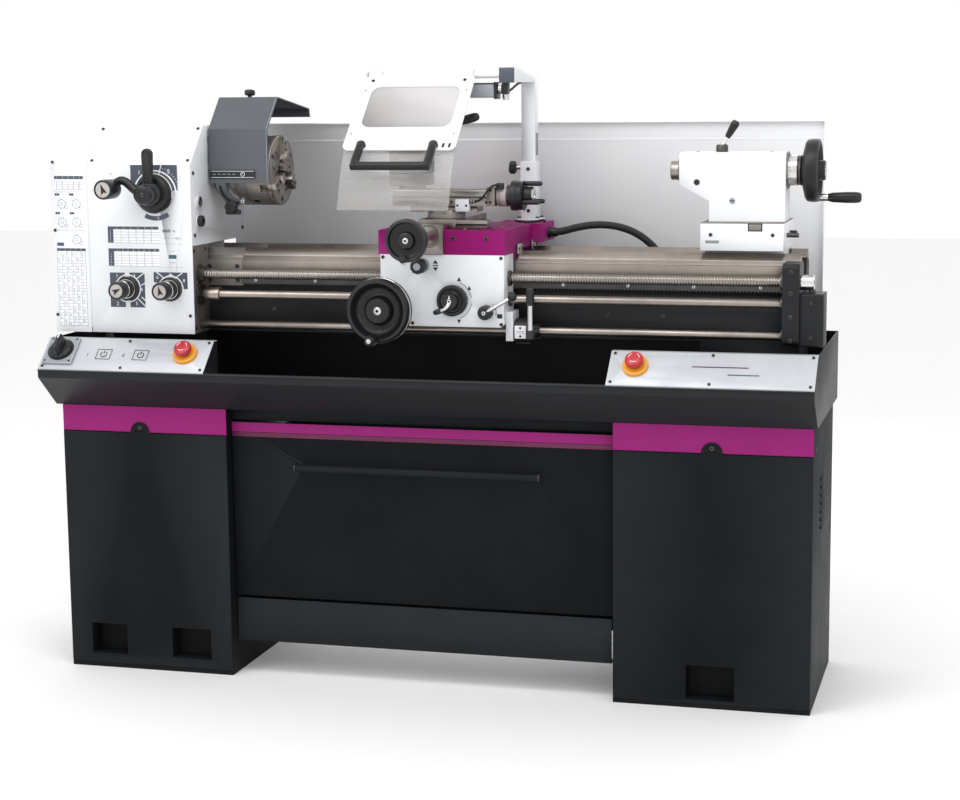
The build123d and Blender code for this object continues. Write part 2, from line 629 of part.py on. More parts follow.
with BuildPart() as top_slide_handwheel:
    rod_x(147 + GAP, 178, -70, 1097, 24)
    rod_x(178, 206, -70, 1097, 33)
    rod_x(206, 228, -70, 1097, 20)
    rod_x(132, 150, -70, 1097, 8)
    for k in range(3):
        a = math.radians(90 + 120 * k)
        rod_x(200, 246, -70 + 26.5 * math.cos(a), 1097 + 26.5 * math.sin(a), 5.5)
save(top_slide_handwheel.part, "top_slide_handwheel")

# Four-way tool post turning on the top slide stud.
with BuildPart() as tool_post:
    with Locations((-53, -70, (1119 + GAP + 1200) / 2)):
        Box(80, 80, 1200 - 1119 - GAP)
    with Locations((-53, -70, 1158)):
        with Locations((0, -34, 0), (0, 34, 0)):
            Box(82, 14, 26, mode=Mode.SUBTRACT)
    with Locations((-53, -70, 1158)):
        with Locations((-34, 0, 0), (34, 0, 0)):
            Box(14, 82, 26, mode=Mode.SUBTRACT)
    rod_z(1200, 1214, -53, -70, 24)
    rod_z(1100, 1230, -53, -70, 9 + GAP, mode=Mode.SUBTRACT)
save(tool_post.part, "tool_post")

with BuildPart() as tool_post_lever:
    rod_z(1214 + GAP, 1247, -53, -70, 19)
    with BuildSketch(Plane.XZ.offset(63)):
        with BuildLine():
            Polyline((-50, 1224), (-50, 1238), (58, 1266), (61, 1254), close=True)
        make_face()
    extrude(amount=14)
    with Locations(Location((78, -70, 1265), (0, 75, 0))):
        Cylinder(10, 52)
    rod_z(1200, 1245 + GAP, -53, -70, 9 + GAP, mode=Mode.SUBTRACT)
save(tool_post_lever.part, "tool_post_lever")

# ---------------------------------------------------------------- shield
# The frame is a flat plate with a rounded window, hinged on the rod above.
FRAME_ANG = math.degrees(math.atan2(161, 183))
frame_plane = Plane(
    origin=(0, HINGE_Y, HINGE_Z), x_dir=(1, 0, 0),
    z_dir=(0, -math.sin(math.radians(FRAME_ANG)), math.cos(math.radians(FRAME_ANG))),
)
# local Y of this plane runs up the slope, so the plate lies at negative local Y
with BuildPart() as shield_frame:
    with BuildSketch(frame_plane.offset(6)):
        with Locations((-33.5, -129)):
            RectangleRounded(255, 242, 16)
        with Locations((-33.5, -112)):
            RectangleRounded(204, 132, 22, mode=Mode.SUBTRACT)
    extrude(amount=3)
    for kx in (-140, 72):
        rod_x(kx - 14, kx + 14, HINGE_Y, HINGE_Z, 13)
        with BuildSketch(frame_plane.offset(6)):
            with Locations((kx, -12)):
                Rectangle(28, 24)
        extrude(amount=3)
    rod_x(-160, 140, HINGE_Y, HINGE_Z, 7 + GAP, mode=Mode.SUBTRACT)
    # U handle that reaches past the lower edge of the frame
    with BuildSketch(frame_plane.offset(9)):
        with Locations((-118, -271), (45, -271)):
            Rectangle(14, 70)
        with Locations((-36.5, -306)):
            Rectangle(177, 14)
    extrude(amount=12)
save(shield_frame.part, "shield_frame")

with BuildPart() as shield_sheet:
    with BuildSketch(frame_plane.offset(3.4)):
        with Locations((-33.5, -122)):
            Rectangle(250, 206)
    extrude(amount=2.5)
    with BuildSketch(Plane.YZ.offset(-158.5)):
        with BuildLine():
            Polyline(
                (-214.5, 1218), (-236, 1192), (-262, 1140), (-285, 1076), (-282.6, 1075.2), (-259.6, 1139),
                (-234, 1190.3), (-210.5, 1214.3), close=True,
            )
        make_face()
    extrude(amount=250)
save(shield_sheet.part, "shield_sheet")

# ---------------------------------------------------------------- apron controls
with BuildPart() as feed_selector:
    rod_y(-206, FRONT_Y - GAP, 73, 875, 34)
    rod_y(-222, -206, 73, 875, 18)
    block(67, 79, -222, -208, 836, 875)
    rod_y(FRONT_Y - GAP, -168, 73, 875, 8)
save(feed_selector.part, "feed_selector")

with BuildPart() as half_nut_lever:
    rod_y(-214, FRONT_Y - GAP, 148, 850, 16)
    with BuildSketch(Plane.XZ.offset(200)):
        with BuildLine():
            Polyline((146, 843), (144, 856), (206, 890), (210, 880), close=True)
        make_face()
    extrude(amount=10)
    with Locations((210, -205, 886)):
        Sphere(10)
    rod_y(FRONT_Y - GAP, -168, 148, 850, 6)
save(half_nut_lever.part, "half_nut_lever")

with BuildPart() as feed_direction_knob:
    rod_y(-236, -208, 5, 951, 17)
    rod_y(-208, -176, 5, 951, 6)
save(feed_direction_knob.part, "feed_direction_knob")

with BuildPart() as control_lever:
    rod_x(203 + GAP, 236, ROD_Y, CTRL_Z, 28)
    rod_x(236, 258, ROD_Y, CTRL_Z, 16)
    block(244, 256, -211, ROD_Y, 800, 812)
    rod_z(800, 906, 250, -205, 6)
    rod_z(870, 906, 250, -205, 9)
    rod_x(200, 262, ROD_Y, CTRL_Z, CTRL_R + GAP, mode=Mode.SUBTRACT)
save(control_lever.part, "control_lever")

# ---------------------------------------------------------------- tailstock
with BuildPart() as tailstock_body:
    block(600, 778, -BED_Y, BED_Y, 982, 1041)
    block(604, 774, -54, 54, FLAT_Z + GAP, 982)
    block(611, 775, -44, 44, 1041, 1120)
    with BuildSketch(Plane.XZ.offset(-42)):
        with BuildLine():
            Polyline((545, 1190), (545, 1122), (611, 1085), (775, 1100), (775, 1190), close=True)
        make_face()
    extrude(amount=84)
    fillet(tailstock_body.edges().filter_by(Axis.X).group_by(Axis.Z)[-1], 14)
    rod_x(540, 770, 0, AXIS_Z, QUILL_R + GAP, mode=Mode.SUBTRACT)
    rod_x(765, 780, 0, AXIS_Z, 10 + GAP, mode=Mode.SUBTRACT)
    rod_z(1176, 1195, 632, 0, 8 + GAP, mode=Mode.SUBTRACT)
save(tailstock_body.part, "tailstock_body")

with BuildPart() as quill:
    rod_x(522, 750, 0, AXIS_Z, QUILL_R)
    chamfer(quill.edges().filter_by(GeomType.CIRCLE).sort_by(Axis.X)[:1], 2)
    rod_x(520, 622, 0, AXIS_Z, 12, mode=Mode.SUBTRACT)
save(quill.part, "quill")

with BuildPart() as tailstock_handwheel:
    rod_x(775 + GAP, 805, 0, AXIS_Z, 33)
    rod_x(805, 845, 0, AXIS_Z, 68)
    rod_x(823, 850, 0, AXIS_Z, 54, mode=Mode.SUBTRACT)
    rod_x(820, 856, 0, AXIS_Z, 22)
    rod_x(836, 862, 0, AXIS_Z - 58, 8)
    rod_x(862, 933, 0, AXIS_Z - 58, 12)
    rod_x(771, 778, 0, AXIS_Z, 10)
save(tailstock_handwheel.part, "tailstock_handwheel")

with BuildPart() as quill_lock_lever:
    rod_z(1190 + GAP, 1206, 632, 0, 13)
    rod_z(1178, 1192, 632, 0, 8)
    with Locations(Location((644, 0, 1226), (0, 30, 0))):
        Cylinder(6, 52)
    with Locations(Location((656, 0, 1246), (0, 30, 0))):
        Cylinder(9, 26)
save(quill_lock_lever.part, "quill_lock_lever")

# ---------------------------------------------------------------- conduit
# Corrugated hose from the saddle wing to the back of the bed.
CONDUIT_D = 18.0
CONDUIT = [
    (215.0, 118.0, 1004.0), (242.0, 118.0, 1004.0), (276.0, 121.0, 1014.0), (322.0, 127.0, 1022.0),
    (370.0, 134.0, 1019.0), (416.0, 142.0, 1003.0), (454.0, 149.0, 973.0), (480.0, 153.0, 934.0),
    (495.0, 154.0, 890.0), (503.0, 152.0, 848.0),
]


def corner_radii(pts):
    """Largest tangent arcs for a route: 0.45 of the shorter run over the tangent of half the turn."""
    out = []
    for a, b, c in zip(pts, pts[1:], pts[2:]):
        u, v = Vector(*b) - Vector(*a), Vector(*c) - Vector(*b)
        turn = math.radians(u.get_angle(v))
        out.append(0.45 * min(u.length, v.length) / math.tan(turn / 2))
    return out


radii = corner_radii(CONDUIT)
print("conduit radii", [round(r) for r in radii])
with BuildPart() as cable_conduit:
    with BuildLine() as route:
        FilletPolyline(*CONDUIT, radius=radii)
    with BuildSketch(Plane(origin=CONDUIT[0], z_dir=Vector(*CONDUIT[1]) - Vector(*CONDUIT[0]))):
        Circle(CONDUIT_D / 2)
    sweep()
route_length = sum(e.length for e in route.line.edges())
print("conduit length", round(route_length), "volume ratio",
      round(cable_conduit.part.volume / (math.pi * CONDUIT_D**2 / 4 * route_length), 4))
save(cable_conduit.part, "cable_conduit")
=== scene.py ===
import math
import bpy
import bmesh
from mathutils import Vector, Matrix


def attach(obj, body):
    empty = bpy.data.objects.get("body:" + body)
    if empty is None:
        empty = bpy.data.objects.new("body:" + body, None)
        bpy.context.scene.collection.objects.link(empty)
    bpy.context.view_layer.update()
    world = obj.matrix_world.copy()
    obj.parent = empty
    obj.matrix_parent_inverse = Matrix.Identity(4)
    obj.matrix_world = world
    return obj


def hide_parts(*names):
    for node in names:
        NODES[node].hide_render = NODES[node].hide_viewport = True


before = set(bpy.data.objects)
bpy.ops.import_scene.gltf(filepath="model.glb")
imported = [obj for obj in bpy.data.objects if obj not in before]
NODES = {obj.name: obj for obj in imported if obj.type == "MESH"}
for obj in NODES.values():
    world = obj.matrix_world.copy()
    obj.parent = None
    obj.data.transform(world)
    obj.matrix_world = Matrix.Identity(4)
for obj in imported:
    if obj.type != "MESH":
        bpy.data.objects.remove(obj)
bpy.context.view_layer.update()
pi = math.pi
MM = 0.001


def lin(r, g, b):
    """sRGB 0-255 to linear RGBA."""
    out = []
    for c in (r, g, b):
        c /= 255.0
        out.append(c / 12.92 if c <= 0.04045 else ((c + 0.055) / 1.055) ** 2.4)
    return (*out, 1.0)


# ------------------------------------------------------------------ camera
scene = bpy.context.scene
cam_data = bpy.data.cameras.new("camera")
cam_data.sensor_width = 36
cam_data.lens = 74.85
cam_data.clip_end = 50
cam = bpy.data.objects.new("camera", cam_data)
r2, u2, f2 = Vector((0.96530, 0.26097, -0.00982)), Vector((-0.03012, 0.14860, 0.98844)), Vector((-0.25941, 0.95384, -0.15130))
m = Matrix((r2, u2, -f2)).transposed().to_4x4()
m.translation = Vector((1.2668, -4.3636, 1.3186))
cam.matrix_world = m
scene.collection.objects.link(cam)
scene.camera = cam
scene.view_settings.view_transform = "Standard"

# ------------------------------------------------------------------ light and floor
world = bpy.data.worlds.new("world")
scene.world = world
world.use_nodes = True
wn = world.node_tree.nodes
wn["Background"].inputs["Color"].default_value = (1, 1, 1, 1)
wn["Background"].inputs["Strength"].default_value = 1.0


def area(name, loc, target, size, power, size_y=None):
    d = bpy.data.lights.new(name, "AREA")
    d.energy = power * 0.84
    d.shape = "RECTANGLE"
    d.size = size
    d.size_y = size_y or size
    o = bpy.data.objects.new(name, d)
    o.location = loc
    o.rotation_euler = (Vector(target) - Vector(loc)).to_track_quat("-Z", "Y").to_euler()
    scene.collection.objects.link(o)
    return o


area("key", (-1.8, -3.0, 3.2), (0, 0, 0.8), 1.8, 30)
area("fill", (2.8, -3.6, 2.2), (0, 0, 0.8), 1.6, 12)
area("top", (0.1, -1.5, 3.2), (0, 0.2, 1.0), 2.4, 34, 1.0)
area("rim", (0.5, 3.0, 2.4), (0, 0, 1.0), 2.4, 14, 1.0)

# ------------------------------------------------------------------ materials
MATS = {}


def paint(name, base, base2=None, rough=0.4, rough2=None, metal=0.0, grain=900.0, bump=0.06, bump_d=0.0002, blotch=5.0, coat=0.0, spec=0.5,
          stretch=None, alpha=1.0, edge_highlight_and_wear=None, edge_highlight_and_wear_amount=0.5):
    """Procedural finish: large soft colour variation, fine grain bump, roughness variation, and lighter convex edges
    that are a painted highlight and partly wear.
    """
    if name in MATS:
        return MATS[name]
    mt = bpy.data.materials.new(name)
    mt.use_nodes = True
    nt = mt.node_tree
    n, l = nt.nodes, nt.links
    b = n["Principled BSDF"]
    co = n.new("ShaderNodeTexCoord")
    big = n.new("ShaderNodeTexNoise")
    big.inputs["Scale"].default_value = blotch
    big.inputs["Detail"].default_value = 5
    big.inputs["Roughness"].default_value = 0.6
    l.new(co.outputs["Object"], big.inputs["Vector"])
    src = co.outputs["Object"]
    if stretch:
        mp = n.new("ShaderNodeMapping")
        mp.inputs["Scale"].default_value = stretch
        l.new(co.outputs["Object"], mp.inputs["Vector"])
        src = mp.outputs["Vector"]
    fine = n.new("ShaderNodeTexNoise")
    fine.inputs["Scale"].default_value = grain
    fine.inputs["Detail"].default_value = 3
    l.new(src, fine.inputs["Vector"])
    ramp = n.new("ShaderNodeValToRGB")
    ramp.color_ramp.elements[0].position = 0.36
    ramp.color_ramp.elements[1].position = 0.66
    ramp.color_ramp.elements[0].color = base
    ramp.color_ramp.elements[1].color = base2 or tuple(c * 0.90 for c in base[:3]) + (1,)
    mixv = n.new("ShaderNodeMath")
    mixv.operation = "ADD"
    l.new(big.outputs["Fac"], mixv.inputs[0])
    half = n.new("ShaderNodeMath")
    half.operation = "MULTIPLY_ADD"
    half.inputs[1].default_value = 0.35 if stretch else 0.12
    half.inputs[2].default_value = -0.175 if stretch else -0.06
    l.new(fine.outputs["Fac"], half.inputs[0])
    l.new(half.outputs[0], mixv.inputs[1])
    l.new(mixv.outputs[0], ramp.inputs["Fac"])
    colour = ramp.outputs["Color"]
    # lighter colour on convex edges, found by pointiness: painted highlight, partly wear
    if edge_highlight_and_wear:
        geo = n.new("ShaderNodeNewGeometry")
        er = n.new("ShaderNodeValToRGB")
        er.color_ramp.elements[0].position = 0.53
        er.color_ramp.elements[1].position = 0.60
        er.color_ramp.elements[0].color = (0, 0, 0, 1)
        er.color_ramp.elements[1].color = (edge_highlight_and_wear_amount,) * 3 + (1,)
        l.new(geo.outputs["Pointiness"], er.inputs["Fac"])
        mx = n.new("ShaderNodeMixRGB")
        mx.inputs["Color2"].default_value = edge_highlight_and_wear
        l.new(er.outputs["Color"], mx.inputs["Fac"])
        l.new(colour, mx.inputs["Color1"])
        colour = mx.outputs["Color"]
    l.new(colour, b.inputs["Base Color"])
    rr = n.new("ShaderNodeMapRange")
    rr.inputs["From Min"].default_value = 0.3
    rr.inputs["From Max"].default_value = 0.7
    rr.inputs["To Min"].default_value = rough
    rr.inputs["To Max"].default_value = rough2 if rough2 is not None else min(1, rough * 1.35)
    l.new(mixv.outputs[0], rr.inputs["Value"])
    l.new(rr.outputs["Result"], b.inputs["Roughness"])
    bp = n.new("ShaderNodeBump")
    bp.inputs["Strength"].default_value = bump
    bp.inputs["Distance"].default_value = bump_d
    l.new(fine.outputs["Fac"], bp.inputs["Height"])
    l.new(bp.outputs["Normal"], b.inputs["Normal"])
    b.inputs["Metallic"].default_value = metal
    b.inputs["Specular IOR Level"].default_value = spec
    if coat:
        b.inputs["Coat Weight"].default_value = coat
        b.inputs["Coat Roughness"].default_value = 0.12
    if alpha < 1:
        b.inputs["Alpha"].default_value = alpha
    MATS[name] = mt
    return mt


# edge colours below are lighter tones for convex edges: painted highlight, and on the dark paints partly wear
paint("white", lin(226, 228, 231), lin(218, 221, 225), rough=0.34, grain=700, bump=0.10, coat=0.15, edge_highlight_and_wear=lin(246, 247, 250))
# the splash guard's white is brighter than the machine's white: painted light that lifts the guard out of the shade it
# sits in
paint("white_guard_painted_light", lin(247, 248, 249), lin(243, 244, 246), rough=0.5, grain=700, bump=0.08, edge_highlight_and_wear=lin(250, 250, 251))
paint("charcoal", lin(17, 19, 21), lin(13, 15, 17), spec=0.12, rough=0.50, grain=650, bump=0.22, bump_d=0.0003, edge_highlight_and_wear=lin(62, 66, 70), edge_highlight_and_wear_amount=0.4)
paint("tray", lin(17, 18, 20), lin(13, 14, 16), spec=0.3, rough=0.42, grain=650, bump=0.20, bump_d=0.0003, edge_highlight_and_wear=lin(60, 64, 68), edge_highlight_and_wear_amount=0.4)
paint("slate", lin(58, 62, 70), lin(50, 54, 61), rough=0.42, grain=700, bump=0.15, edge_highlight_and_wear=lin(150, 155, 160))
paint("label", lin(72, 80, 92), lin(66, 74, 86), rough=0.45, grain=500, bump=0.03)
paint("label_teal", lin(58, 92, 96), lin(54, 86, 90), rough=0.45, grain=500, bump=0.03)
paint("label_white", lin(240, 241, 243), lin(235, 236, 239), rough=0.42, grain=500, bump=0.03)
paint("label_grey", lin(150, 154, 160), lin(138, 142, 149), rough=0.5, grain=500, bump=0.03)
paint("label_black", lin(24, 25, 28), lin(20, 21, 24), rough=0.42, grain=500, bump=0.03)
paint("purple", lin(136, 12, 98), lin(126, 10, 90), spec=0.14, rough=0.38, grain=650, bump=0.15, edge_highlight_and_wear=lin(175, 60, 142))
# darker copy of the purple: painted shade on the drawer band, a print colour on the console plate
paint("purple_dark", lin(104, 14, 72), lin(95, 10, 62), rough=0.40, grain=650, bump=0.15)
paint("cast", (0.30, 0.275, 0.255, 1), (0.21, 0.195, 0.18, 1), rough=0.42, rough2=0.58, metal=0.75, grain=320, bump=0.35, bump_d=0.0004)
paint("machined", (0.38, 0.335, 0.30, 1), (0.25, 0.22, 0.20, 1), rough=0.26, rough2=0.42, metal=1, grain=60, bump=0.12, bump_d=0.0002, stretch=(1.0, 30.0, 30.0))
paint("ground", (0.40, 0.365, 0.335, 1), (0.26, 0.235, 0.215, 1), rough=0.24, rough2=0.42, metal=1, grain=70, bump=0.12, bump_d=0.0002, stretch=(1.0, 24.0, 24.0))
paint("chrome", (0.78, 0.77, 0.76, 1), (0.66, 0.65, 0.64, 1), rough=0.12, rough2=0.22, metal=1, grain=400, bump=0.03)
paint("steel_dark", (0.11, 0.105, 0.10, 1), (0.07, 0.068, 0.065, 1), rough=0.35, rough2=0.5, metal=0.9, grain=300, bump=0.2)
paint("chuck_steel", (0.44, 0.40, 0.375, 1), (0.33, 0.30, 0.28, 1), rough=0.26, rough2=0.38, metal=1, grain=260, bump=0.10)
paint("plate", lin(196, 198, 202), lin(182, 185, 190), rough=0.38, rough2=0.5, metal=0.35, grain=60, bump=0.05, stretch=(1.0, 26.0, 26.0))
paint("black", lin(20, 21, 23), lin(14, 15, 17), spec=0.4, rough=0.28, rough2=0.44, grain=420, bump=0.12, edge_highlight_and_wear=lin(70, 72, 76), edge_highlight_and_wear_amount=0.35)
paint("black_matt", lin(28, 29, 31), lin(22, 23, 25), rough=0.58, rough2=0.7, grain=420, bump=0.25)
# near-black painted shade for the insides of holes, slots, sockets and recesses
paint("hole", lin(8, 8, 9), lin(6, 6, 7), rough=0.8, grain=300, bump=0.1)
paint("red", lin(186, 26, 40), lin(170, 20, 34), rough=0.30, grain=500, bump=0.05, coat=0.2)
paint("yellow", lin(236, 160, 34), lin(226, 148, 28), rough=0.4, grain=500, bump=0.05)
paint("face", lin(190, 184, 180), lin(176, 170, 166), rough=0.42, metal=0.3, grain=500, bump=0.04)
paint("rubber", lin(30, 30, 31), lin(24, 24, 25), rough=0.7, rough2=0.85, grain=300, bump=0.3)
paint("conduit", lin(44, 46, 49), lin(34, 36, 38), rough=0.45, rough2=0.6, grain=300, bump=0.15)
paint("brass", (0.60, 0.45, 0.20, 1), (0.48, 0.35, 0.15, 1), rough=0.3, metal=1, grain=300, bump=0.1)
paint("lens", lin(60, 62, 60), lin(40, 42, 40), rough=0.08, grain=100, bump=0.01, coat=0.6)


def clear_mat():
    mt = bpy.data.materials.new("clear")
    mt.use_nodes = True
    nt = mt.node_tree
    n, l = nt.nodes, nt.links
    b = n["Principled BSDF"]
    co = n.new("ShaderNodeTexCoord")
    mp = n.new("ShaderNodeMapping")
    mp.inputs["Scale"].default_value = (1.0, 14.0, 14.0)
    l.new(co.outputs["Object"], mp.inputs["Vector"])
    sc = n.new("ShaderNodeTexNoise")
    sc.inputs["Scale"].default_value = 9
    sc.inputs["Detail"].default_value = 8
    sc.inputs["Roughness"].default_value = 0.7
    l.new(mp.outputs["Vector"], sc.inputs["Vector"])
    ramp = n.new("ShaderNodeValToRGB")
    ramp.color_ramp.elements[0].position = 0.35
    ramp.color_ramp.elements[1].position = 0.72
    ramp.color_ramp.elements[0].color = lin(205, 205, 204)
    ramp.color_ramp.elements[1].color = lin(160, 156, 151)
    l.new(sc.outputs["Fac"], ramp.inputs["Fac"])
    l.new(ramp.outputs["Color"], b.inputs["Base Color"])
    al = n.new("ShaderNodeMapRange")
    al.inputs["From Min"].default_value = 0.32
    al.inputs["From Max"].default_value = 0.72
    al.inputs["To Min"].default_value = 0.12
    al.inputs["To Max"].default_value = 0.46
    l.new(sc.outputs["Fac"], al.inputs["Value"])
    l.new(al.outputs["Result"], b.inputs["Alpha"])
    b.inputs["Roughness"].default_value = 0.16
    b.inputs["Specular IOR Level"].default_value = 0.6
    bp = n.new("ShaderNodeBump")
    bp.inputs["Strength"].default_value = 0.25
    bp.inputs["Distance"].default_value = 0.002
    l.new(sc.outputs["Fac"], bp.inputs["Height"])
    l.new(bp.outputs["Normal"], b.inputs["Normal"])
    MATS["clear"] = mt


clear_mat()


def pane_mat():
    """Window pane of the shield with painted shade: darker and more opaque towards its lower left, clearer towards the
    right.
    """
    mt = bpy.data.materials.new("pane")
    mt.use_nodes = True
    nt = mt.node_tree
    n, l = nt.nodes, nt.links
    b = n["Principled BSDF"]
    co = n.new("ShaderNodeTexCoord")
    sep = n.new("ShaderNodeSeparateXYZ")
    l.new(co.outputs["Object"], sep.inputs[0])
    mx = n.new("ShaderNodeMapRange")
    mx.inputs["From Min"].default_value = -0.14
    mx.inputs["From Max"].default_value = 0.07
    l.new(sep.outputs["X"], mx.inputs["Value"])
    mz = n.new("ShaderNodeMapRange")
    mz.inputs["From Min"].default_value = 1.225
    mz.inputs["From Max"].default_value = 1.345
    l.new(sep.outputs["Z"], mz.inputs["Value"])
    ad = n.new("ShaderNodeMath")
    ad.operation = "ADD"
    l.new(mx.outputs["Result"], ad.inputs[0])
    l.new(mz.outputs["Result"], ad.inputs[1])
    no = n.new("ShaderNodeTexNoise")
    no.inputs["Scale"].default_value = 12
    no.inputs["Detail"].default_value = 4
    l.new(co.outputs["Object"], no.inputs["Vector"])
    a2 = n.new("ShaderNodeMath")
    a2.operation = "MULTIPLY_ADD"
    a2.inputs[1].default_value = 0.5
    l.new(no.outputs["Fac"], a2.inputs[0])
    l.new(ad.outputs[0], a2.inputs[2])
    ramp = n.new("ShaderNodeValToRGB")
    ramp.color_ramp.elements[0].position = 0.15
    ramp.color_ramp.elements[1].position = 0.95
    # dark end of the ramp is painted shade
    ramp.color_ramp.elements[0].color = lin(118, 115, 112)
    ramp.color_ramp.elements[1].color = lin(214, 212, 212)
    sc = n.new("ShaderNodeMath")
    sc.operation = "MULTIPLY"
    sc.inputs[1].default_value = 0.55
    l.new(a2.outputs[0], sc.inputs[0])
    l.new(sc.outputs[0], ramp.inputs["Fac"])
    l.new(ramp.outputs["Color"], b.inputs["Base Color"])
    al = n.new("ShaderNodeMapRange")
    al.inputs["From Min"].default_value = 0.2
    al.inputs["From Max"].default_value = 1.1
    al.inputs["To Min"].default_value = 0.86
    al.inputs["To Max"].default_value = 0.45
    l.new(sc.outputs[0], al.inputs["Value"])
    l.new(al.outputs["Result"], b.inputs["Alpha"])
    b.inputs["Roughness"].default_value = 0.12
    bp = n.new("ShaderNodeBump")
    bp.inputs["Strength"].default_value = 0.1
    bp.inputs["Distance"].default_value = 0.001
    l.new(no.outputs["Fac"], bp.inputs["Height"])
    l.new(bp.outputs["Normal"], b.inputs["Normal"])
    MATS["pane"] = mt


pane_mat()

# ------------------------------------------------------------------ floor
fm = bpy.data.meshes.new("floor")
bmf = bmesh.new()
for x, y in ((-14, -14), (14, -14), (14, 14), (-14, 14)):
    bmf.verts.new((x, y, 0))
bmf.faces.new(bmf.verts)
bmf.to_mesh(fm)
bmf.free()
floor = bpy.data.objects.new("floor", fm)
scene.collection.objects.link(floor)
paint("floor", (0.93, 0.93, 0.93, 1), (0.92, 0.92, 0.92, 1), rough=0.75, grain=200, bump=0.01)
fm.materials.append(MATS["floor"])

# ------------------------------------------------------------------ mesh helpers, in mm
GLYPH = {}


def glyph(ch):
    """A flat digit or letter, height 1, as vertex and face lists."""
    if ch not in GLYPH:
        cu = bpy.data.curves.new("g", "FONT")
        cu.body = ch
        cu.resolution_u = 2
        ob = bpy.data.objects.new("g", cu)
        me = bpy.data.meshes.new_from_object(ob)
        vs = [tuple(v.co) for v in me.vertices]
        fs = [tuple(p.vertices) for p in me.polygons]
        w = max(v[0] for v in vs) if vs else 0.5
        h = max(v[1] for v in vs) if vs else 0.7
        GLYPH[ch] = ([(x / 0.69, y / 0.69) for x, y, _ in vs], fs, w / 0.69)
        bpy.data.objects.remove(ob)
        bpy.data.curves.remove(cu)
        bpy.data.meshes.remove(me)
    return GLYPH[ch]


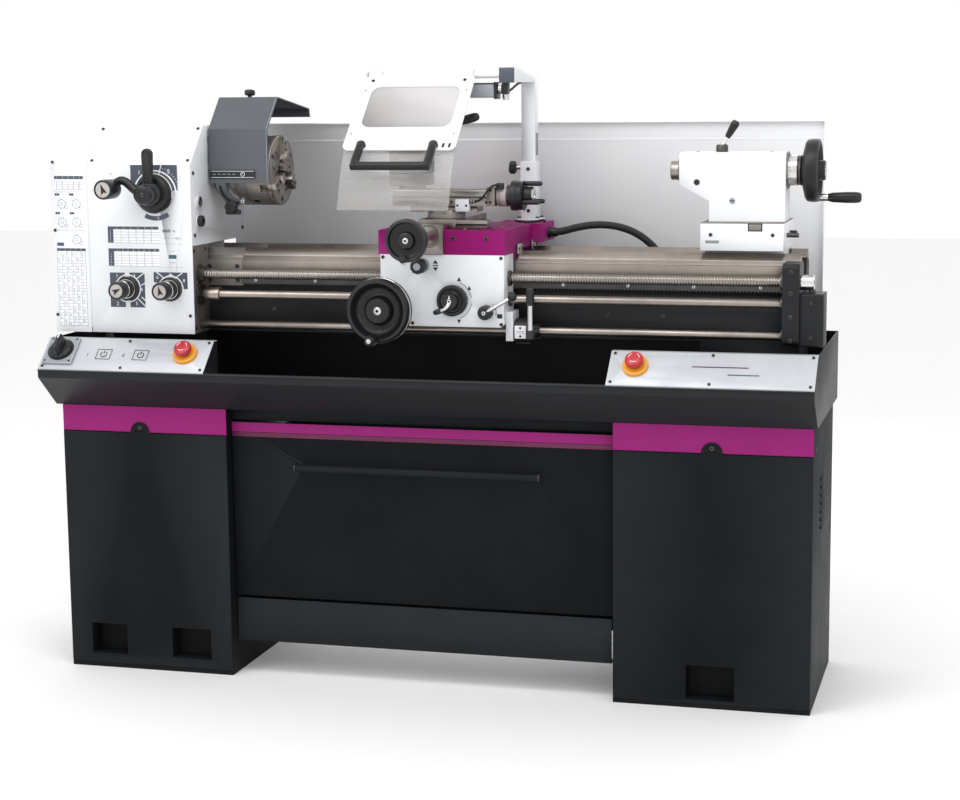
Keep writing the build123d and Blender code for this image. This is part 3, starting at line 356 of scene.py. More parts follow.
class G:
    """Collects faces with their materials, and becomes one object."""

    def __init__(self, name, body, slot=None):
        self.name, self.body, self.slot = name, body, slot
        self.v, self.f, self.m, self.mats = [], [], [], []

    def mi(self, mat):
        if mat not in self.mats:
            self.mats.append(mat)
        return self.mats.index(mat)

    def add(self, vs, fs, mat):
        o = len(self.v)
        self.v.extend(tuple(v) for v in vs)
        mats = mat if isinstance(mat, (list, tuple)) else [mat] * len(fs)
        for f, mm in zip(fs, mats):
            self.f.append(tuple(i + o for i in f))
            self.m.append(self.mi(mm))

    def from_bm(self, bm, mat, T=None):
        bm.verts.ensure_lookup_table()
        bmesh.ops.recalc_face_normals(bm, faces=bm.faces)
        vs = [(T @ v.co) if T else v.co.copy() for v in bm.verts]
        self.add(vs, [[v.index for v in f.verts] for f in bm.faces], mat)
        bm.free()

    def obox(self, c, size, mat, T=None, bev=1.0, seg=2):
        """Box with rounded edges about c, size full; T turns it about c."""
        bm = bmesh.new()
        bmesh.ops.create_cube(bm, size=1)
        for v in bm.verts:
            v.co = Vector((v.co.x * size[0], v.co.y * size[1], v.co.z * size[2]))
        b = min(bev, min(size) * 0.45)
        if b > 0.02:
            bmesh.ops.bevel(bm, geom=bm.edges[:], offset=b, segments=seg, affect="EDGES", profile=0.5)
        bm.verts.index_update()
        M = Matrix.Translation(Vector(c)) @ (T.to_4x4() if T else Matrix.Identity(4))
        self.from_bm(bm, mat, M)

    def box(self, x0, x1, y0, y1, z0, z1, mat, bev=1.0, seg=2):
        self.obox(((x0 + x1) / 2, (y0 + y1) / 2, (z0 + z1) / 2), (abs(x1 - x0), abs(y1 - y0), abs(z1 - z0)), mat, None, bev, seg)

    def prism(self, pts, T, d0, d1, mat, bev=0.8, seg=2):
        """Polygon pts (u, v) extruded from w=d0 to d1 in the frame T."""
        bm = bmesh.new()
        a = [bm.verts.new((u, v, d0)) for u, v in pts]
        f = bm.faces.new(a)
        r = bmesh.ops.extrude_face_region(bm, geom=[f])
        for g in r["geom"]:
            if isinstance(g, bmesh.types.BMVert):
                g.co.z = d1
        bmesh.ops.recalc_face_normals(bm, faces=bm.faces)
        if bev > 0.02:
            sharp = [e for e in bm.edges if len(e.link_faces) == 2 and e.calc_face_angle(0) > 0.6]
            if sharp:
                bmesh.ops.bevel(bm, geom=sharp, offset=min(bev, abs(d1 - d0) * 0.45), segments=seg, affect="EDGES", profile=0.5, clamp_overlap=True)
        bm.verts.index_update()
        self.from_bm(bm, mat, T)

    def rev(self, prof, T, mats, seg=40, rfun=None, close=False):
        """Profile of (r, h) about the frame T's third axis. rfun(i, angle, r) may change a ring's radius. mats: one, or one per step."""
        vs, rings = [], []
        for i, (r, h) in enumerate(prof):
            if r < 1e-6:
                rings.append([len(vs)])
                vs.append(T @ Vector((0, 0, h)))
                continue
            ring = []
            for k in range(seg):
                a = 2 * pi * k / seg
                rr = rfun(i, a, r) if rfun else r
                ring.append(len(vs))
                vs.append(T @ Vector((rr * math.cos(a), rr * math.sin(a), h)))
            rings.append(ring)
        fs, mm = [], []
        steps = len(prof) - 1 + (1 if close else 0)
        for i in range(steps):
            A, B = rings[i], rings[(i + 1) % len(rings)]
            mt = mats[i % len(mats)] if isinstance(mats, (list, tuple)) else mats
            if len(A) == 1 and len(B) == 1:
                continue
            for k in range(seg):
                k2 = (k + 1) % seg
                if len(A) == 1:
                    fs.append((A[0], B[k2], B[k]))
                elif len(B) == 1:
                    fs.append((A[k], A[k2], B[0]))
                else:
                    fs.append((A[k], A[k2], B[k2], B[k]))
                mm.append(mt)
        if not close:
            for ring, rev in ((rings[0], True), (rings[-1], False)):
                if len(ring) > 1:
                    fs.append(tuple(reversed(ring)) if rev else tuple(ring))
                    mm.append(mats[0 if rev else -1] if isinstance(mats, (list, tuple)) else mats)
        self.add(vs, fs, mm)

    def tube(self, pts, rad, mat, seg=12, sub=6, caps=True, rf=None):
        """Round bar along a smooth line through pts. rad is a number or one per point; rf(t, a) scales the radius."""
        P = [Vector(p) for p in pts]
        R = rad if isinstance(rad, (list, tuple)) else [rad] * len(P)
        line, rr = [], []
        if sub <= 1 or len(P) < 3:
            line, rr = P, list(R)
        else:
            for i in range(len(P) - 1):
                p0, p1, p2, p3 = P[max(i - 1, 0)], P[i], P[i + 1], P[min(i + 2, len(P) - 1)]
                for k in range(sub):
                    t = k / sub
                    line.append(0.5 * ((2 * p1) + (p2 - p0) * t + (2 * p0 - 5 * p1 + 4 * p2 - p3) * t * t + (3 * p1 - p0 - 3 * p2 + p3) * t ** 3))
                    rr.append(R[i] * (1 - t) + R[i + 1] * t)
            line.append(P[-1])
            rr.append(R[-1])
        tang = []
        for i in range(len(line)):
            d = line[min(i + 1, len(line) - 1)] - line[max(i - 1, 0)]
            tang.append(d.normalized() if d.length > 1e-9 else Vector((0, 0, 1)))
        nrm = tang[0].orthogonal().normalized()
        vs, rings = [], []
        for i, p in enumerate(line):
            if i:
                q = tang[i - 1].rotation_difference(tang[i])
                nrm = (q @ nrm).normalized()
            bi = tang[i].cross(nrm)
            ring = []
            for k in range(seg):
                a = 2 * pi * k / seg
                r = rr[i] * (rf(i / (len(line) - 1), a) if rf else 1)
                ring.append(len(vs))
                vs.append(p + (nrm * math.cos(a) + bi * math.sin(a)) * r)
            rings.append(ring)
        fs = []
        for A, B in zip(rings, rings[1:]):
            for k in range(seg):
                k2 = (k + 1) % seg
                fs.append((A[k], A[k2], B[k2], B[k]))
        if caps:
            fs.append(tuple(reversed(rings[0])))
            fs.append(tuple(rings[-1]))
        self.add(vs, fs, mat)

    def screw(self, pos, nrm, r=4.0, mat="steel_dark", h=2.2, hexs=True, washer=None):
        """Socket screw: rounded head, hexagon recess."""
        T = frame_at(pos, nrm)
        if washer:
            self.rev([(0, -0.1), (washer, -0.1), (washer, 0.8), (0, 0.8)], T, "chrome", 24)
        rh = r * 0.52

        def rf(i, a, rr):
            if i in (4, 5):
                b = (a + pi / 6) % (pi / 3) - pi / 6
                return rr * math.cos(pi / 6) / math.cos(b)
            return rr
        # the hexagon recess is coloured with painted shade
        self.rev([(0, -0.3), (r, -0.3), (r, h * 0.75), (r * 0.86, h), (rh, h), (rh, h * 0.25), (0, h * 0.25)], T,
                 [mat, mat, mat, mat, "hole", "hole"], 24, rf if hexs else None)

    def text(self, s, pos, h, mat, right=(1, 0, 0), up=(0, 0, 1), track=0.62, th=0.25):
        """Digits standing th proud of a face; pos is the left end of the base line."""
        rt, u = Vector(right), Vector(up)
        w = rt.cross(u)
        p = Vector(pos)
        for ch in s:
            if ch != " ":
                gv, gf, gw = glyph(ch)
                self.add([p + rt * (x * h) + u * (y * h) + w * th for x, y in gv], gf, mat)
            p = p + rt * (h * track)

    def build(self, sharp=35, weld=False):
        me = bpy.data.meshes.new(self.name)
        me.from_pydata([(x * MM, y * MM, z * MM) for x, y, z in self.v], [], self.f)
        for n_ in self.mats:
            me.materials.append(MATS[n_])
        for p, i in zip(me.polygons, self.m):
            p.material_index = i
            p.use_smooth = True
        me.validate()
        me.set_sharp_from_angle(angle=math.radians(sharp))
        ob = bpy.data.objects.new(self.name, me)
        scene.collection.objects.link(ob)
        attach(ob, self.body)
        return ob


def frame_at(pos, nrm, xdir=None):
    """A frame at pos whose third axis is nrm."""
    w = Vector(nrm).normalized()
    if xdir is not None:
        u = (Vector(xdir) - w * Vector(xdir).dot(w)).normalized()
    else:
        u = w.orthogonal().normalized()
    v = w.cross(u)
    M = Matrix((u, v, w)).transposed().to_4x4()
    M.translation = Vector(pos)
    return M


def FY(x, z, y=0.0):
    """Frame whose first axis is +X, second +Z, third -Y, at (x, y, z): drawing faces that look at the operator."""
    M = Matrix(((1, 0, 0), (0, 0, -1), (0, 1, 0))).to_4x4()
    M.translation = Vector((x, y, z))
    return M


def FX(y, z, x=0.0):
    """Third axis +X, first +Y, second +Z."""
    M = Matrix(((0, 0, 1), (1, 0, 0), (0, 1, 0))).to_4x4()
    M.translation = Vector((x, y, z))
    return M


def FZ(x, y, z=0.0):
    return Matrix.Translation(Vector((x, y, z)))


# ------------------------------------------------------------------ carried-over CAD nodes
SLOT_MAT = {
    "end_gear_cover": "white", "headstock_casting": "white", "headstock_front_plate": "white", "feed_gearbox": "cast",
    "left_cabinet": "charcoal", "right_cabinet": "charcoal", "cabinet_covers": "charcoal", "crossbeam_frame": "charcoal",
    "chip_drawer": "charcoal", "brake_treadle": "charcoal", "chip_tray": "tray", "console_housings": "tray", "console_plates": "plate",
    "splash_guard": "white_guard_painted_light", "bed": "tray", "gap_bridge": "cast", "gear_rack": "steel_dark", "rod_end_bracket": "tray",
    "limit_switch_box": "tray", "drive_motor": "slate", "drive_belts": "rubber", "spindle": "ground", "spindle_bearings": "ground", "chuck_body": "chuck_steel",
    "jaw_1": "ground", "jaw_2": "ground", "jaw_3": "ground", "chuck_guard": "slate", "leadscrew": "machined", "feed_rod": "machined",
    "control_rod": "machined", "saddle": "purple", "apron": "white", "shield_arm": "white", "shield_frame": "white", "shield_sheet": "clear",
    "cross_slide": "ground", "compound_base": "ground", "top_slide": "ground", "tool_post": "ground", "tailstock_body": "white",
    "quill": "ground", "cable_conduit": "conduit", "main_switch_knob": "black", "estop_left": "red", "estop_right": "red",
}
for name, ob in NODES.items():
    want = MATS[SLOT_MAT.get(name, "black")]
    for i in range(max(1, len(ob.material_slots))):
        if not ob.material_slots:
            ob.data.materials.append(want)
        else:
            ob.material_slots[i].material = want
    for p in ob.data.polygons:
        p.use_smooth = True
    w = ob.modifiers.new("weld", "WELD")
    w.merge_threshold = 0.00002
    bv = ob.modifiers.new("bevel", "BEVEL")
    bv.width = 0.0016 if name in ("left_cabinet", "right_cabinet", "headstock_casting", "tailstock_body", "end_gear_cover", "apron", "saddle", "console_housings") else 0.0008
    bv.segments = 2
    bv.limit_method = "ANGLE"
    bv.angle_limit = math.radians(40)
    bv.harden_normals = True
    bv.use_clamp_overlap = True


def cut_mats(node, rules):
    """Gives a CAD node's faces a material by where they are: rules are (test(centre mm, normal), material)."""
    ob = NODES[node]
    for _, mname in rules:
        if MATS[mname].name not in [mm.name for mm in ob.data.materials if mm]:
            ob.data.materials.append(MATS[mname])
    names = [mm.name for mm in ob.data.materials]
    for p in ob.data.polygons:
        c = p.center * 1000
        for test, mname in rules:
            if test(c, p.normal):
                p.material_index = names.index(MATS[mname].name)
                break


# ------------------------------------------------------------------ colours on CAD faces
# purple bands at the top of both cabinets and of the drawer
for nd in ("left_cabinet", "right_cabinet"):
    g = G(nd + "_band", "machine", "purple_paint")
    x0, x1 = ((-861, -457), (433, 861))[nd == "right_cabinet"]
    g.box(x0 + 0.2, x1 - 0.2, -216.0, -214.6, 561.5, 620.5, "purple", 0.4)
    g.build()
g = G("drawer_band", "drawer", "purple_paint")
g.box(-453.6, 429.6, -189.9, -188.6, 567, 588.6, "purple", 0.3)
# lower strip in a darker purple on the same plane: painted shade
g.box(-453.6, 429.6, -189.7, -188.6, 556, 566.2, "purple_dark", 0.3)
g.build()
# cabinet screws in the cover tabs, and hinge-side fixings
g = G("cabinet_screws", "machine", "machined_steel")
for x in (-669, 647):
    g.screw((x, -216.2, 572), (0, -1, 0), 5.0, "steel_dark", 2.4)
for x0, x1 in ((-861, -457), (433, 861)):
    for xs, s in ((x0, -1), (x1, 1)):
        for y in (-170, 170):
            for z in (90, 330, 570):
                g.screw((xs - s * 0.1, y, z), (s, 0, 0), 4.2, "steel_dark", 1.8)
g.build()
# ventilation louvres on the cabinet ends, pressed out of the sheet
g = G("cabinet_louvres", "machine", "charcoal_paint")
for xs, s in ((-861, -1), (861, 1)):
    for k in range(7):
        z = 380 + 18 * k
        T = frame_at((xs, 0, z), (0, 1, 0), (s, 0, 0))
        g.prism([(-1.0, -6), (4.4, 5), (4.4, 6.2), (-1.0, 6.2)], T, -60, 60, "charcoal", 0.5)
g.build()

cut_mats("bed", [
    (lambda c, n: c.z > 948 and n.z > 0.25, "machined"),
    (lambda c, n: c.z > 951, "machined"),
])
cut_mats("apron", [(lambda c, n: c.z > 973.5, "ground")])
cut_mats("saddle", [(lambda c, n: c.y < -199 and c.x > -12 and c.x < 56 and c.z > 975, "ground"), (lambda c, n: c.z < 961.2, "ground"),
                    (lambda c, n: c.z > 1030, "ground"), (lambda c, n: c.y < -192, "ground")])
cut_mats("chuck_body", [(lambda c, n: abs(n.x) < 0.4 and (c.y ** 2 + (c.z - 1150) ** 2) > 76 ** 2, "cast")])
cut_mats("spindle", [(lambda c, n: c.x < -815, "cast")])

# machined front faces of the bed: a bright band with the dark casting below it
g = G("bed_face_band", "machine", "machined_steel")
for x0, x1 in ((-784.5, -549), (-454.5, 813.5)):
    for s in (-1, 1):
        g.box(x0, x1, s * 93.0 - 0.25, s * 93.0 + 0.25, 915, 949.4, "machined", 0.1)
g.build()
g = G("gap_band", "machine", "cast_iron")
g.box(-547.5, -455.5, -94.6, -93.4, 915, 949.4, "cast", 0.3)
for x in (-535, -468):
    for z in (903, 935):
        g.screw((x, -94.4, z), (0, -1, 0), 5, "steel_dark", 2.6)
g.build()
# bolts that hold the bed to the cabinets, and a row of smaller screws on the bed's front
g = G("bed_bolts", "machine", "machined_steel")
for x in (-770, -575, 615, 799):
    for s in (-1, 1):
        g.screw((x, s * 93.2, 700), (0, s, 0), 6, "steel_dark", 3)
for x in (-380, -120, 140, 400, 520):
    g.screw((x, -93.4, 838), (0, -1, 0), 4.5, "steel_dark", 2)
g.build()

# ------------------------------------------------------------------ rack teeth
g = G("rack_teeth", "machine", "machined_steel")
x0, x1 = -455.0, 780.0
pitch = 2.5 * pi
nt_ = int((x1 - x0) / pitch)
vs, fs = [], []
prof = []
for k in range(nt_):
    xs = x0 + k * pitch
    for dx, dz in ((0.0, 3.2), (pitch * 0.25, 3.2), (pitch * 0.42, 0.0), (pitch * 0.58, 0.0), (pitch * 0.75, 3.2)):
        prof.append((xs + dx, 893 + dz))
prof.append((x1, 896.2))
for (xa, za) in prof:
    for y in (-103, -93.2):
        vs.append((xa, y, za))
        vs.append((xa, y, 911))
for i in range(len(prof) - 1):
    a, b = 4 * i, 4 * (i + 1)
    fs += [(a, b, b + 1, a + 1), (a + 2, a + 3, b + 3, b + 2), (a, a + 2, b + 2, b), (a + 1, b + 1, b + 3, a + 3)]
fs += [(0, 1, 3, 2), (4 * (len(prof) - 1), 4 * (len(prof) - 1) + 2, 4 * (len(prof) - 1) + 3, 4 * (len(prof) - 1) + 1)]
g.add(vs, fs, "steel_dark")
for k in range(9):
    g.screw((-420 + k * 144, -103, 904), (0, -1, 0), 3.6, "chrome", 1.6)
o = g.build(25)
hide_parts("gear_rack")

# ------------------------------------------------------------------ leadscrew with a real thread
g = G("leadscrew_thread", "lead", "machined_steel")


def thread(g, x0, x1, y, z, ro, ri, pitch, mat, seg=24, step=0.25):
    """Trapezoidal thread about +X: the radius follows the helix angle and the position."""
    vs, fs = [], []
    n_ = int((x1 - x0) / (pitch * step))
    for i in range(n_ + 1):
        x = x0 + (x1 - x0) * i / n_
        for k in range(seg):
            a = 2 * pi * k / seg
            ph = ((x - x0) / pitch - k / seg) % 1.0
            t = abs(ph - 0.5) * 2
            w = min(1, max(0, (t - 0.32) / 0.30))
            r = ri + (ro - ri) * w
            vs.append((x, y + r * math.cos(a), z + r * math.sin(a)))
    for i in range(n_):
        for k in range(seg):
            a, b = i * seg + k, i * seg + (k + 1) % seg
            fs.append((a, b, b + seg, a + seg))
    fs.append(tuple(range(seg))[::-1])
    fs.append(tuple(n_ * seg + k for k in range(seg)))
    g.add(vs, fs, mat)


thread(g, -520, 784, -145, 921, 11, 9.2, 6.0, "ground", 20, 0.25)
TX = FX(-145, 921)
g.rev([(0, -560), (11, -560), (11, -519.5), (0, -519.5)], TX, "ground", 32)
g.rev([(0, 783.5), (11, 783.5), (11, 822), (0, 822)], TX, "ground", 32)
g.rev([(0, -538), (16, -538), (17, -537), (17, -527), (16, -526), (0, -526)], TX, "steel_dark", 36)
g.rev([(0, 822), (15, 822), (16, 823), (16, 848), (14.5, 850), (6, 850), (6, 847), (0, 847)], TX, ["chrome"] * 5 + ["hole"] * 2, 36)
for a in (0.7, 0.7 + pi):
    g.screw((-532, -145 + 17 * math.cos(a), 921 + 17 * math.sin(a)), (0, math.cos(a), math.sin(a)), 2.4, "chrome", 0.6)
o = g.build(28)
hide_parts("leadscrew")

# ------------------------------------------------------------------ headstock labels and tables
YF = -190.3


def tile(g, x0, z0, x1, z1, mat, th=0.5, yf=-190.0):
    g.box(min(x0, x1), max(x0, x1), yf - th, yf + 0.1, min(z0, z1), max(z0, z1), mat, 0.12, 1)


def line_(g, x0, z0, x1, z1, w, mat, th=0.35, yf=-190.0):
    dx, dz = x1 - x0, z1 - z0
    L = math.hypot(dx, dz)
    nx, nz = -dz / L * w / 2, dx / L * w / 2
    pts = [(x0 + nx, z0 + nz), (x1 + nx, z1 + nz), (x1 - nx, z1 - nz), (x0 - nx, z0 - nz)]
    g.prism(pts, FY(0, 0, yf), -0.05, th, mat, 0)


def ring_(g, x, z, r, w, mat, th=0.3, yf=-190.0, a0=0, a1=2 * pi, seg=32):
    full = abs(a1 - a0) > 6.28
    vs, fs = [], []
    n_ = seg
    for i in range(n_ + (0 if full else 1)):
        a = a0 + (a1 - a0) * i / n_
        for rr, y in ((r - w / 2, yf + 0.05), (r + w / 2, yf + 0.05), (r + w / 2, yf - th), (r - w / 2, yf - th)):
            vs.append((x + rr * math.cos(a), y, z + rr * math.sin(a)))
    cnt = n_ if full else n_
    tot = len(vs) // 4
    for i in range(cnt):
        A, B = 4 * i, 4 * ((i + 1) % tot)
        for j in range(4):
            j2 = (j + 1) % 4
            fs.append((A + j, B + j, B + j2, A + j2))
    if not full:
        fs.append((0, 1, 2, 3))
        e = 4 * (tot - 1)
        fs.append((e + 3, e + 2, e + 1, e))
    g.add(vs, fs, mat)


def digits(g, s, x, z, h, mat, yf=-190.0, th=0.6, track=0.62):
    g.text(s, (x, yf, z), h, mat, (1, 0, 0), (0, 0, 1), track, th)


g = G("cover_labels", "end_cover")
tile(g, -872, 1144, -800, 1137, "label")
for i, s in enumerate(("1", "2", "3", "4", "5")):
    digits(g, s, -866 + i * 14.0, 1138.7, 3.6, "label_white", th=0.7)
tile(g, -872.5, 1131, -800, 1113, "label_white", 0.3)
for k in range(4):
    line_(g, -872.5, 1113.6 + 5.7 * k, -800, 1113.6 + 5.7 * k, 0.8, "label_grey", 0.45)
for k in range(3):
    for c in range(5):
        digits(g, str((k * 37 + c * 53 + 11) % 90 + 10), -868 + c * 14, 1115 + 5.7 * k, 3.0, "label_black", th=0.5)
for x, z in ((-872, 1099.5), (-836, 1099.5), (-872, 1057), (-836, 1057)):
    tile(g, x, z, x + 10.5, z + 4.8, "label_black")
    digits(g, str(int(x) % 7 + 1), x + 3.6, z + 0.8, 3.2, "label_white", th=0.7)
for x, z in ((-856, 1080.5), (-819, 1080.5), (-856, 1038), (-820, 1038), (-821, 999)):
    ring_(g, x, z, 9.5, 0.8, "label_grey")
    ring_(g, x, z, 3.4, 0.7, "label_grey")
    for q in range(6):
        a = q * pi / 3 + 0.3
        line_(g, x + 9.9 * math.cos(a), z + 9.9 * math.sin(a), x + 12.2 * math.cos(a), z + 12.2 * math.sin(a), 1.5, "label_grey")
    ring_(g, x + 11, z - 7.5, 4.0, 0.7, "label_grey")
    line_(g, x - 8, z + 13, x + 4, z + 8, 0.6, "label_grey")
for z in (1107.7, 1020.5):
    line_(g, -874, z, -800, z, 0.6, "label_grey")
tile(g, -871, 992, -854, 984.5, "label_teal")
tile(g, -872, 979, -800, 973, "label")
for i in range(5):
    digits(g, str(i + 1), -866 + i * 13.4, 974.2, 3.2, "label_white", th=0.7)
tile(g, -872, 973, -801, 801, "label_white", 0.3)
for k in range(25):
    line_(g, -872, 801.4 + k * 7.15, -801, 801.4 + k * 7.15, 0.75, "label_grey", 0.42)
for c in range(7):
    x = -872 + c * 11.83
    line_(g, x, 801, x, 973, 0.75, "label_grey", 0.42)
for k in range(24):
    for c in range(6):
        v = (k * 17 + c * 29 + k * c * 3) % 97
        if (k * 6 + c * 5) % 9 < 6:
            digits(g, str(v), -870 + c * 11.83, 803 + k * 7.15, 3.4, "label_black", th=0.5)
for x, z in ((-874.6, 1175.7), (-878.2, 826), (-874.6, 1020)):
    g.screw((max(x, -876.5), -190.0, z), (0, -1, 0), 3.6, "steel_dark", 1.8)
g.build()

g = G("headstock_labels", "machine")
# main lever block: two panels with a white arc round the disc
tile(g, -682, 1169, -568, 1112, "label")
line_(g, -606, 1169.4, -612, 1150, 2.2, "label_white", 0.75)
ring_(g, -623, 1105, 51, 3.0, "label_white", 0.8, a0=0.05, a1=pi * 0.98)
digits(g, "1", -664, 1148, 9.5, "label_white", th=0.8)
digits(g, "2", -592, 1150, 9.5, "label_white", th=0.8)
ring_(g, -623, 1105, 56, 10, "label", 0.5, a0=-2.05, a1=-1.0)
digits(g, "0", -619, 1046.5, 6, "label_white", th=0.8)
# arc of ticks outside
for q in range(9):
    a = 0.35 + q * 0.11
    line_(g, -623 + 58 * math.cos(a), 1105 + 58 * math.sin(a), -623 + 61 * math.cos(a), 1105 + 61 * math.sin(a), 1.0, "label_white", 0.8)
digits(g, "1 2", -735, 1146, 4.0, "label_black", th=0.4)
# tables A and B
for z1, zb, xr in ((1030, 992.7, -618), (980, 940.0, -618)):
    tile(g, -743, z1, xr, z1 - 6.4, "label")
    tile(g, -743, z1 - 6.4, -729.5, zb, "label")
    tile(g, -729.5, z1 - 6.4, xr + 1, zb, "label_white", 0.3)
    for i in range(6 if z1 > 1000 else 8):
        digits(g, str(i + 1), -722 + i * (17.5 if z1 > 1000 else 13.2), z1 - 5.0, 3.4, "label_white", th=0.7)
    for i in range(5):
        digits(g, str(5 - i), -738, zb + 1.2 + i * 6.1, 3.6, "label_white", th=0.7)
        line_(g, -729.5, zb + 0.2 + i * 6.1, xr + 1, zb + 0.2 + i * 6.1, 0.75, "label_grey", 0.42)
        for c in range(6):
            if (i * 7 + c * 3) % 5 < 3:
                digits(g, str((i * 31 + c * 17) % 9 + 1), -724 + c * 17.5, zb + 1.5 + i * 6.1, 2.8, "label_grey", th=0.5)
    for c in range(1, 6):
        line_(g, -729.5 + c * 18.7, zb, -729.5 + c * 18.7, z1 - 6.4, 0.75, "label_grey", 0.42)
    line_(g, xr + 1, zb - 1.5, -560, zb - 1.5, 0.4, "label_grey", 0.3)
for i in range(4):
    x = -609 + i * 5.2
    line_(g, x, 1024, x + 2.6, 1017, 1.0, "label_black", 0.35)
    line_(g, x + 2.6, 1017, x + 5.2, 1024, 1.0, "label_black", 0.35)
digits(g, "60", -583, 1018, 4.2, "label_black", th=0.4)
line_(g, -608, 1004, -590, 1004, 0.8, "label_grey")
line_(g, -585, 1004, -562, 1004, 0.8, "label_grey")
ring_(g, -573, 1004, 3, 0.8, "label_grey")
tile(g, -595, 966.6, -576, 958, "label_teal")
line_(g, -592, 975, -580, 975, 0.7, "label_grey")
line_(g, -592, 949, -578, 949, 1.2, "label_grey")
# feed knob blocks
for x0, z0, x1, z1 in ((-742, 925, -705, 846), (-693, 925.5, -656, 846)):
    tile(g, x0, z0, x1, z1, "label")
for a in (0.62, 0.0, -0.62):
    ca, sa = math.cos(a), math.sin(a)
ring_(g, -698, 889, 31, 2.5, "label_white", 0.75)
for x0, z0, x1, z1 in ((-676, 911, -655.6, 926), (-665, 896, -655.6, 902), (-665, 870, -655.6, 862), (-676, 868, -655.6, 848.5)):
    line_(g, x0, z0, x1, z1, 2.0, "label_white", 0.78)
for s, x, z in (("1", -727, 914), ("3", -684, 914), ("4", -667, 883), ("5", -680, 851), ("2", -727, 850)):
    digits(g, s, x, z, 8.0, "label_white", th=0.82)
g.prism([(-633.5, 927), (-551, 927), (-551, 889.5), (-563, 889.5), (-566, 899), (-590, 924), (-612, 914), (-622, 902), (-633.5, 905)][::-1], FY(0, 0, -190.0), -0.05, 0.5, "label", 0)
for x0, z0, x1, z1 in ((-626, 927, -604, 911), (-562, 927, -585, 911), (-604, 911, -585, 911)):
    line_(g, x0, z0, x1, z1, 2.0, "label_white", 0.78)
ring_(g, -592, 889, 30, 2.5, "label_white", 0.72)
for s, x, z in (("6", -627, 912), ("7", -596, 917), ("8", -562, 905)):
    digits(g, s, x, z, 7.5, "label_white", th=0.82)
g.build()

g = G("headstock_screws", "machine", "machined_steel")
for x, z in ((-545.5, 1180.8), (-546.4, 828.7)):
    yy = -190 if z < 1170 else None
    if yy:
        g.screw((x, -190.1, z), (0, -1, 0), 3.8, "steel_dark", 1.8)
sl = Vector((0, -84, 78)).normalized()
# slope runs from (-187,1170) to (-109,1254)
for x, t in ((-546, 0.10), (-781, 0.10), (-546, 0.93), (-781, 0.93)):
    p = Vector((x, -187 + 78 * t, 1170 + 84 * t))
    g.screw(p + Vector((0, -84, 78)).normalized() * 0.1, (0, -84, 78), 3.8, "steel_dark", 1.8)
# sight glass and oil plug on the headstock's right face
T = FX(-150, 1084)
g.rev([(0, -535.2), (13, -535.2), (13, -531), (11.5, -530), (9.3, -530), (9.0, -531.2), (5, -530.4), (0, -530)], T, ["chrome"] * 4 + ["lens"] * 4, 36)
T = FX(-150, 1041)
g.rev([(0, -535.2), (13, -535.2), (13, -526.5), (11.8, -525.3), (6, -525.3), (6, -528), (0, -528)], T, ["black"] * 4 + ["hole"] * 2, 48,
      lambda i, a, r: r * (1 - 0.045 * (math.sin(a * 16) > 0)) if i in (1, 2) else r)
for y, z in ((-175, 1010), (-175, 1150), (112, 1010), (112, 1235), (-80, 1225)):
    g.screw((-537, y, z), (1, 0, 0), 4.5, "steel_dark", 2.4)
# top cover of the headstock: raised lid; its six screws are drawn further down with the lid's gasket line
g.box(-782, -546, -98, 118, 1253.6, 1253.9, "white", 0.1)
g.build()

# ------------------------------------------------------------------ knobs and levers
def arrow_face(g, T, r, h, mat="face"):
    """Silver disc with a black arrow, set into a rim, at height h of T."""
    g.rev([(0, h - 1.5), (r, h - 1.5), (r, h), (0, h)], T, mat, 40)
    s = r * 0.78
    g.prism([(-s * 0.55, -s * 0.75), (0, -s * 0.45), (s * 0.55, -s * 0.75), (0, s)], T @ Matrix.Translation((0, 0, h)), -0.1, 0.9, "label_black", 0.15)


def round_knob(g, T, r, h0, h1, mat="black", flange=None, ribs=0, turn=0.0):
    """Cap knob from h0 to h1 with a rolled rim and a recessed silver arrow face."""
    if flange:
        fr, f0, f1 = flange
        g.rev([(0, f0), (fr, f0), (fr, f1 - 2), (fr - 2, f1), (fr - 5, f1), (fr - 6, f1 + 0.4), (0, f1 + 0.4)], T, ["black", "black", "black", "black", "chrome", "black"], 56)
    g.rev([(0, h0), (r * 0.93, h0), (r, h0 + 3), (r, h1 - 3.2), (r - 0.9, h1 - 1.1), (r - 3.0, h1), (r - 4.4, h1 - 0.6), (r - 4.8, h1 - 3), (0, h1 - 3)], T, mat, 64,
          (lambda i, a, rr: rr * (1 - 0.03 * (0.5 + 0.5 * math.cos(a * ribs))) if i in (1, 2, 3) else rr) if ribs else None)
    arrow_face(g, T @ Matrix.Rotation(turn, 4, "Z"), r - 4.9, h1 - 1.8)


# speed lever: disc with a chrome bezel, hub, flat paddle grip
T = FY(-623, 1105)
g = G("speed_lever_detail", "speed", "black_plastic")
g.rev([(0, 190.3), (46, 190.3), (46, 199), (44.5, 201), (43, 203), (39.5, 209.5), (37, 211.5), (28, 212), (27, 210), (0, 210)], T,
      ["chrome", "chrome", "chrome", "black", "black", "black", "black", "black", "black"], 72)
g.rev([(0, 209), (26, 209), (26, 233), (24, 237), (21, 238), (0, 238)], T, "black", 48)
# paddle: flat with rounded end, growing from the hub
pad = [(-10.5, 14), (-13, 70), (-13, 88)]
arc = [(13 * math.cos(a), 89 + 13 * math.sin(a)) for a in [pi - k * pi / 12 for k in range(13)]]
g.prism([(-10.5, 14)] + arc + [(10.5, 14)], FY(-623, 1105, -219), 0, 15, "black", 4.5, 3)
g.prism([(-7, 40)] + [(7.5 * math.cos(a), 84 + 7.5 * math.sin(a)) for a in [pi - k * pi / 10 for k in range(11)]] + [(7, 40)], FY(-623, 1105, -234), -0.6, 0.7, "black_matt", 0.5)
o = g.build()
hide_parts("speed_lever")

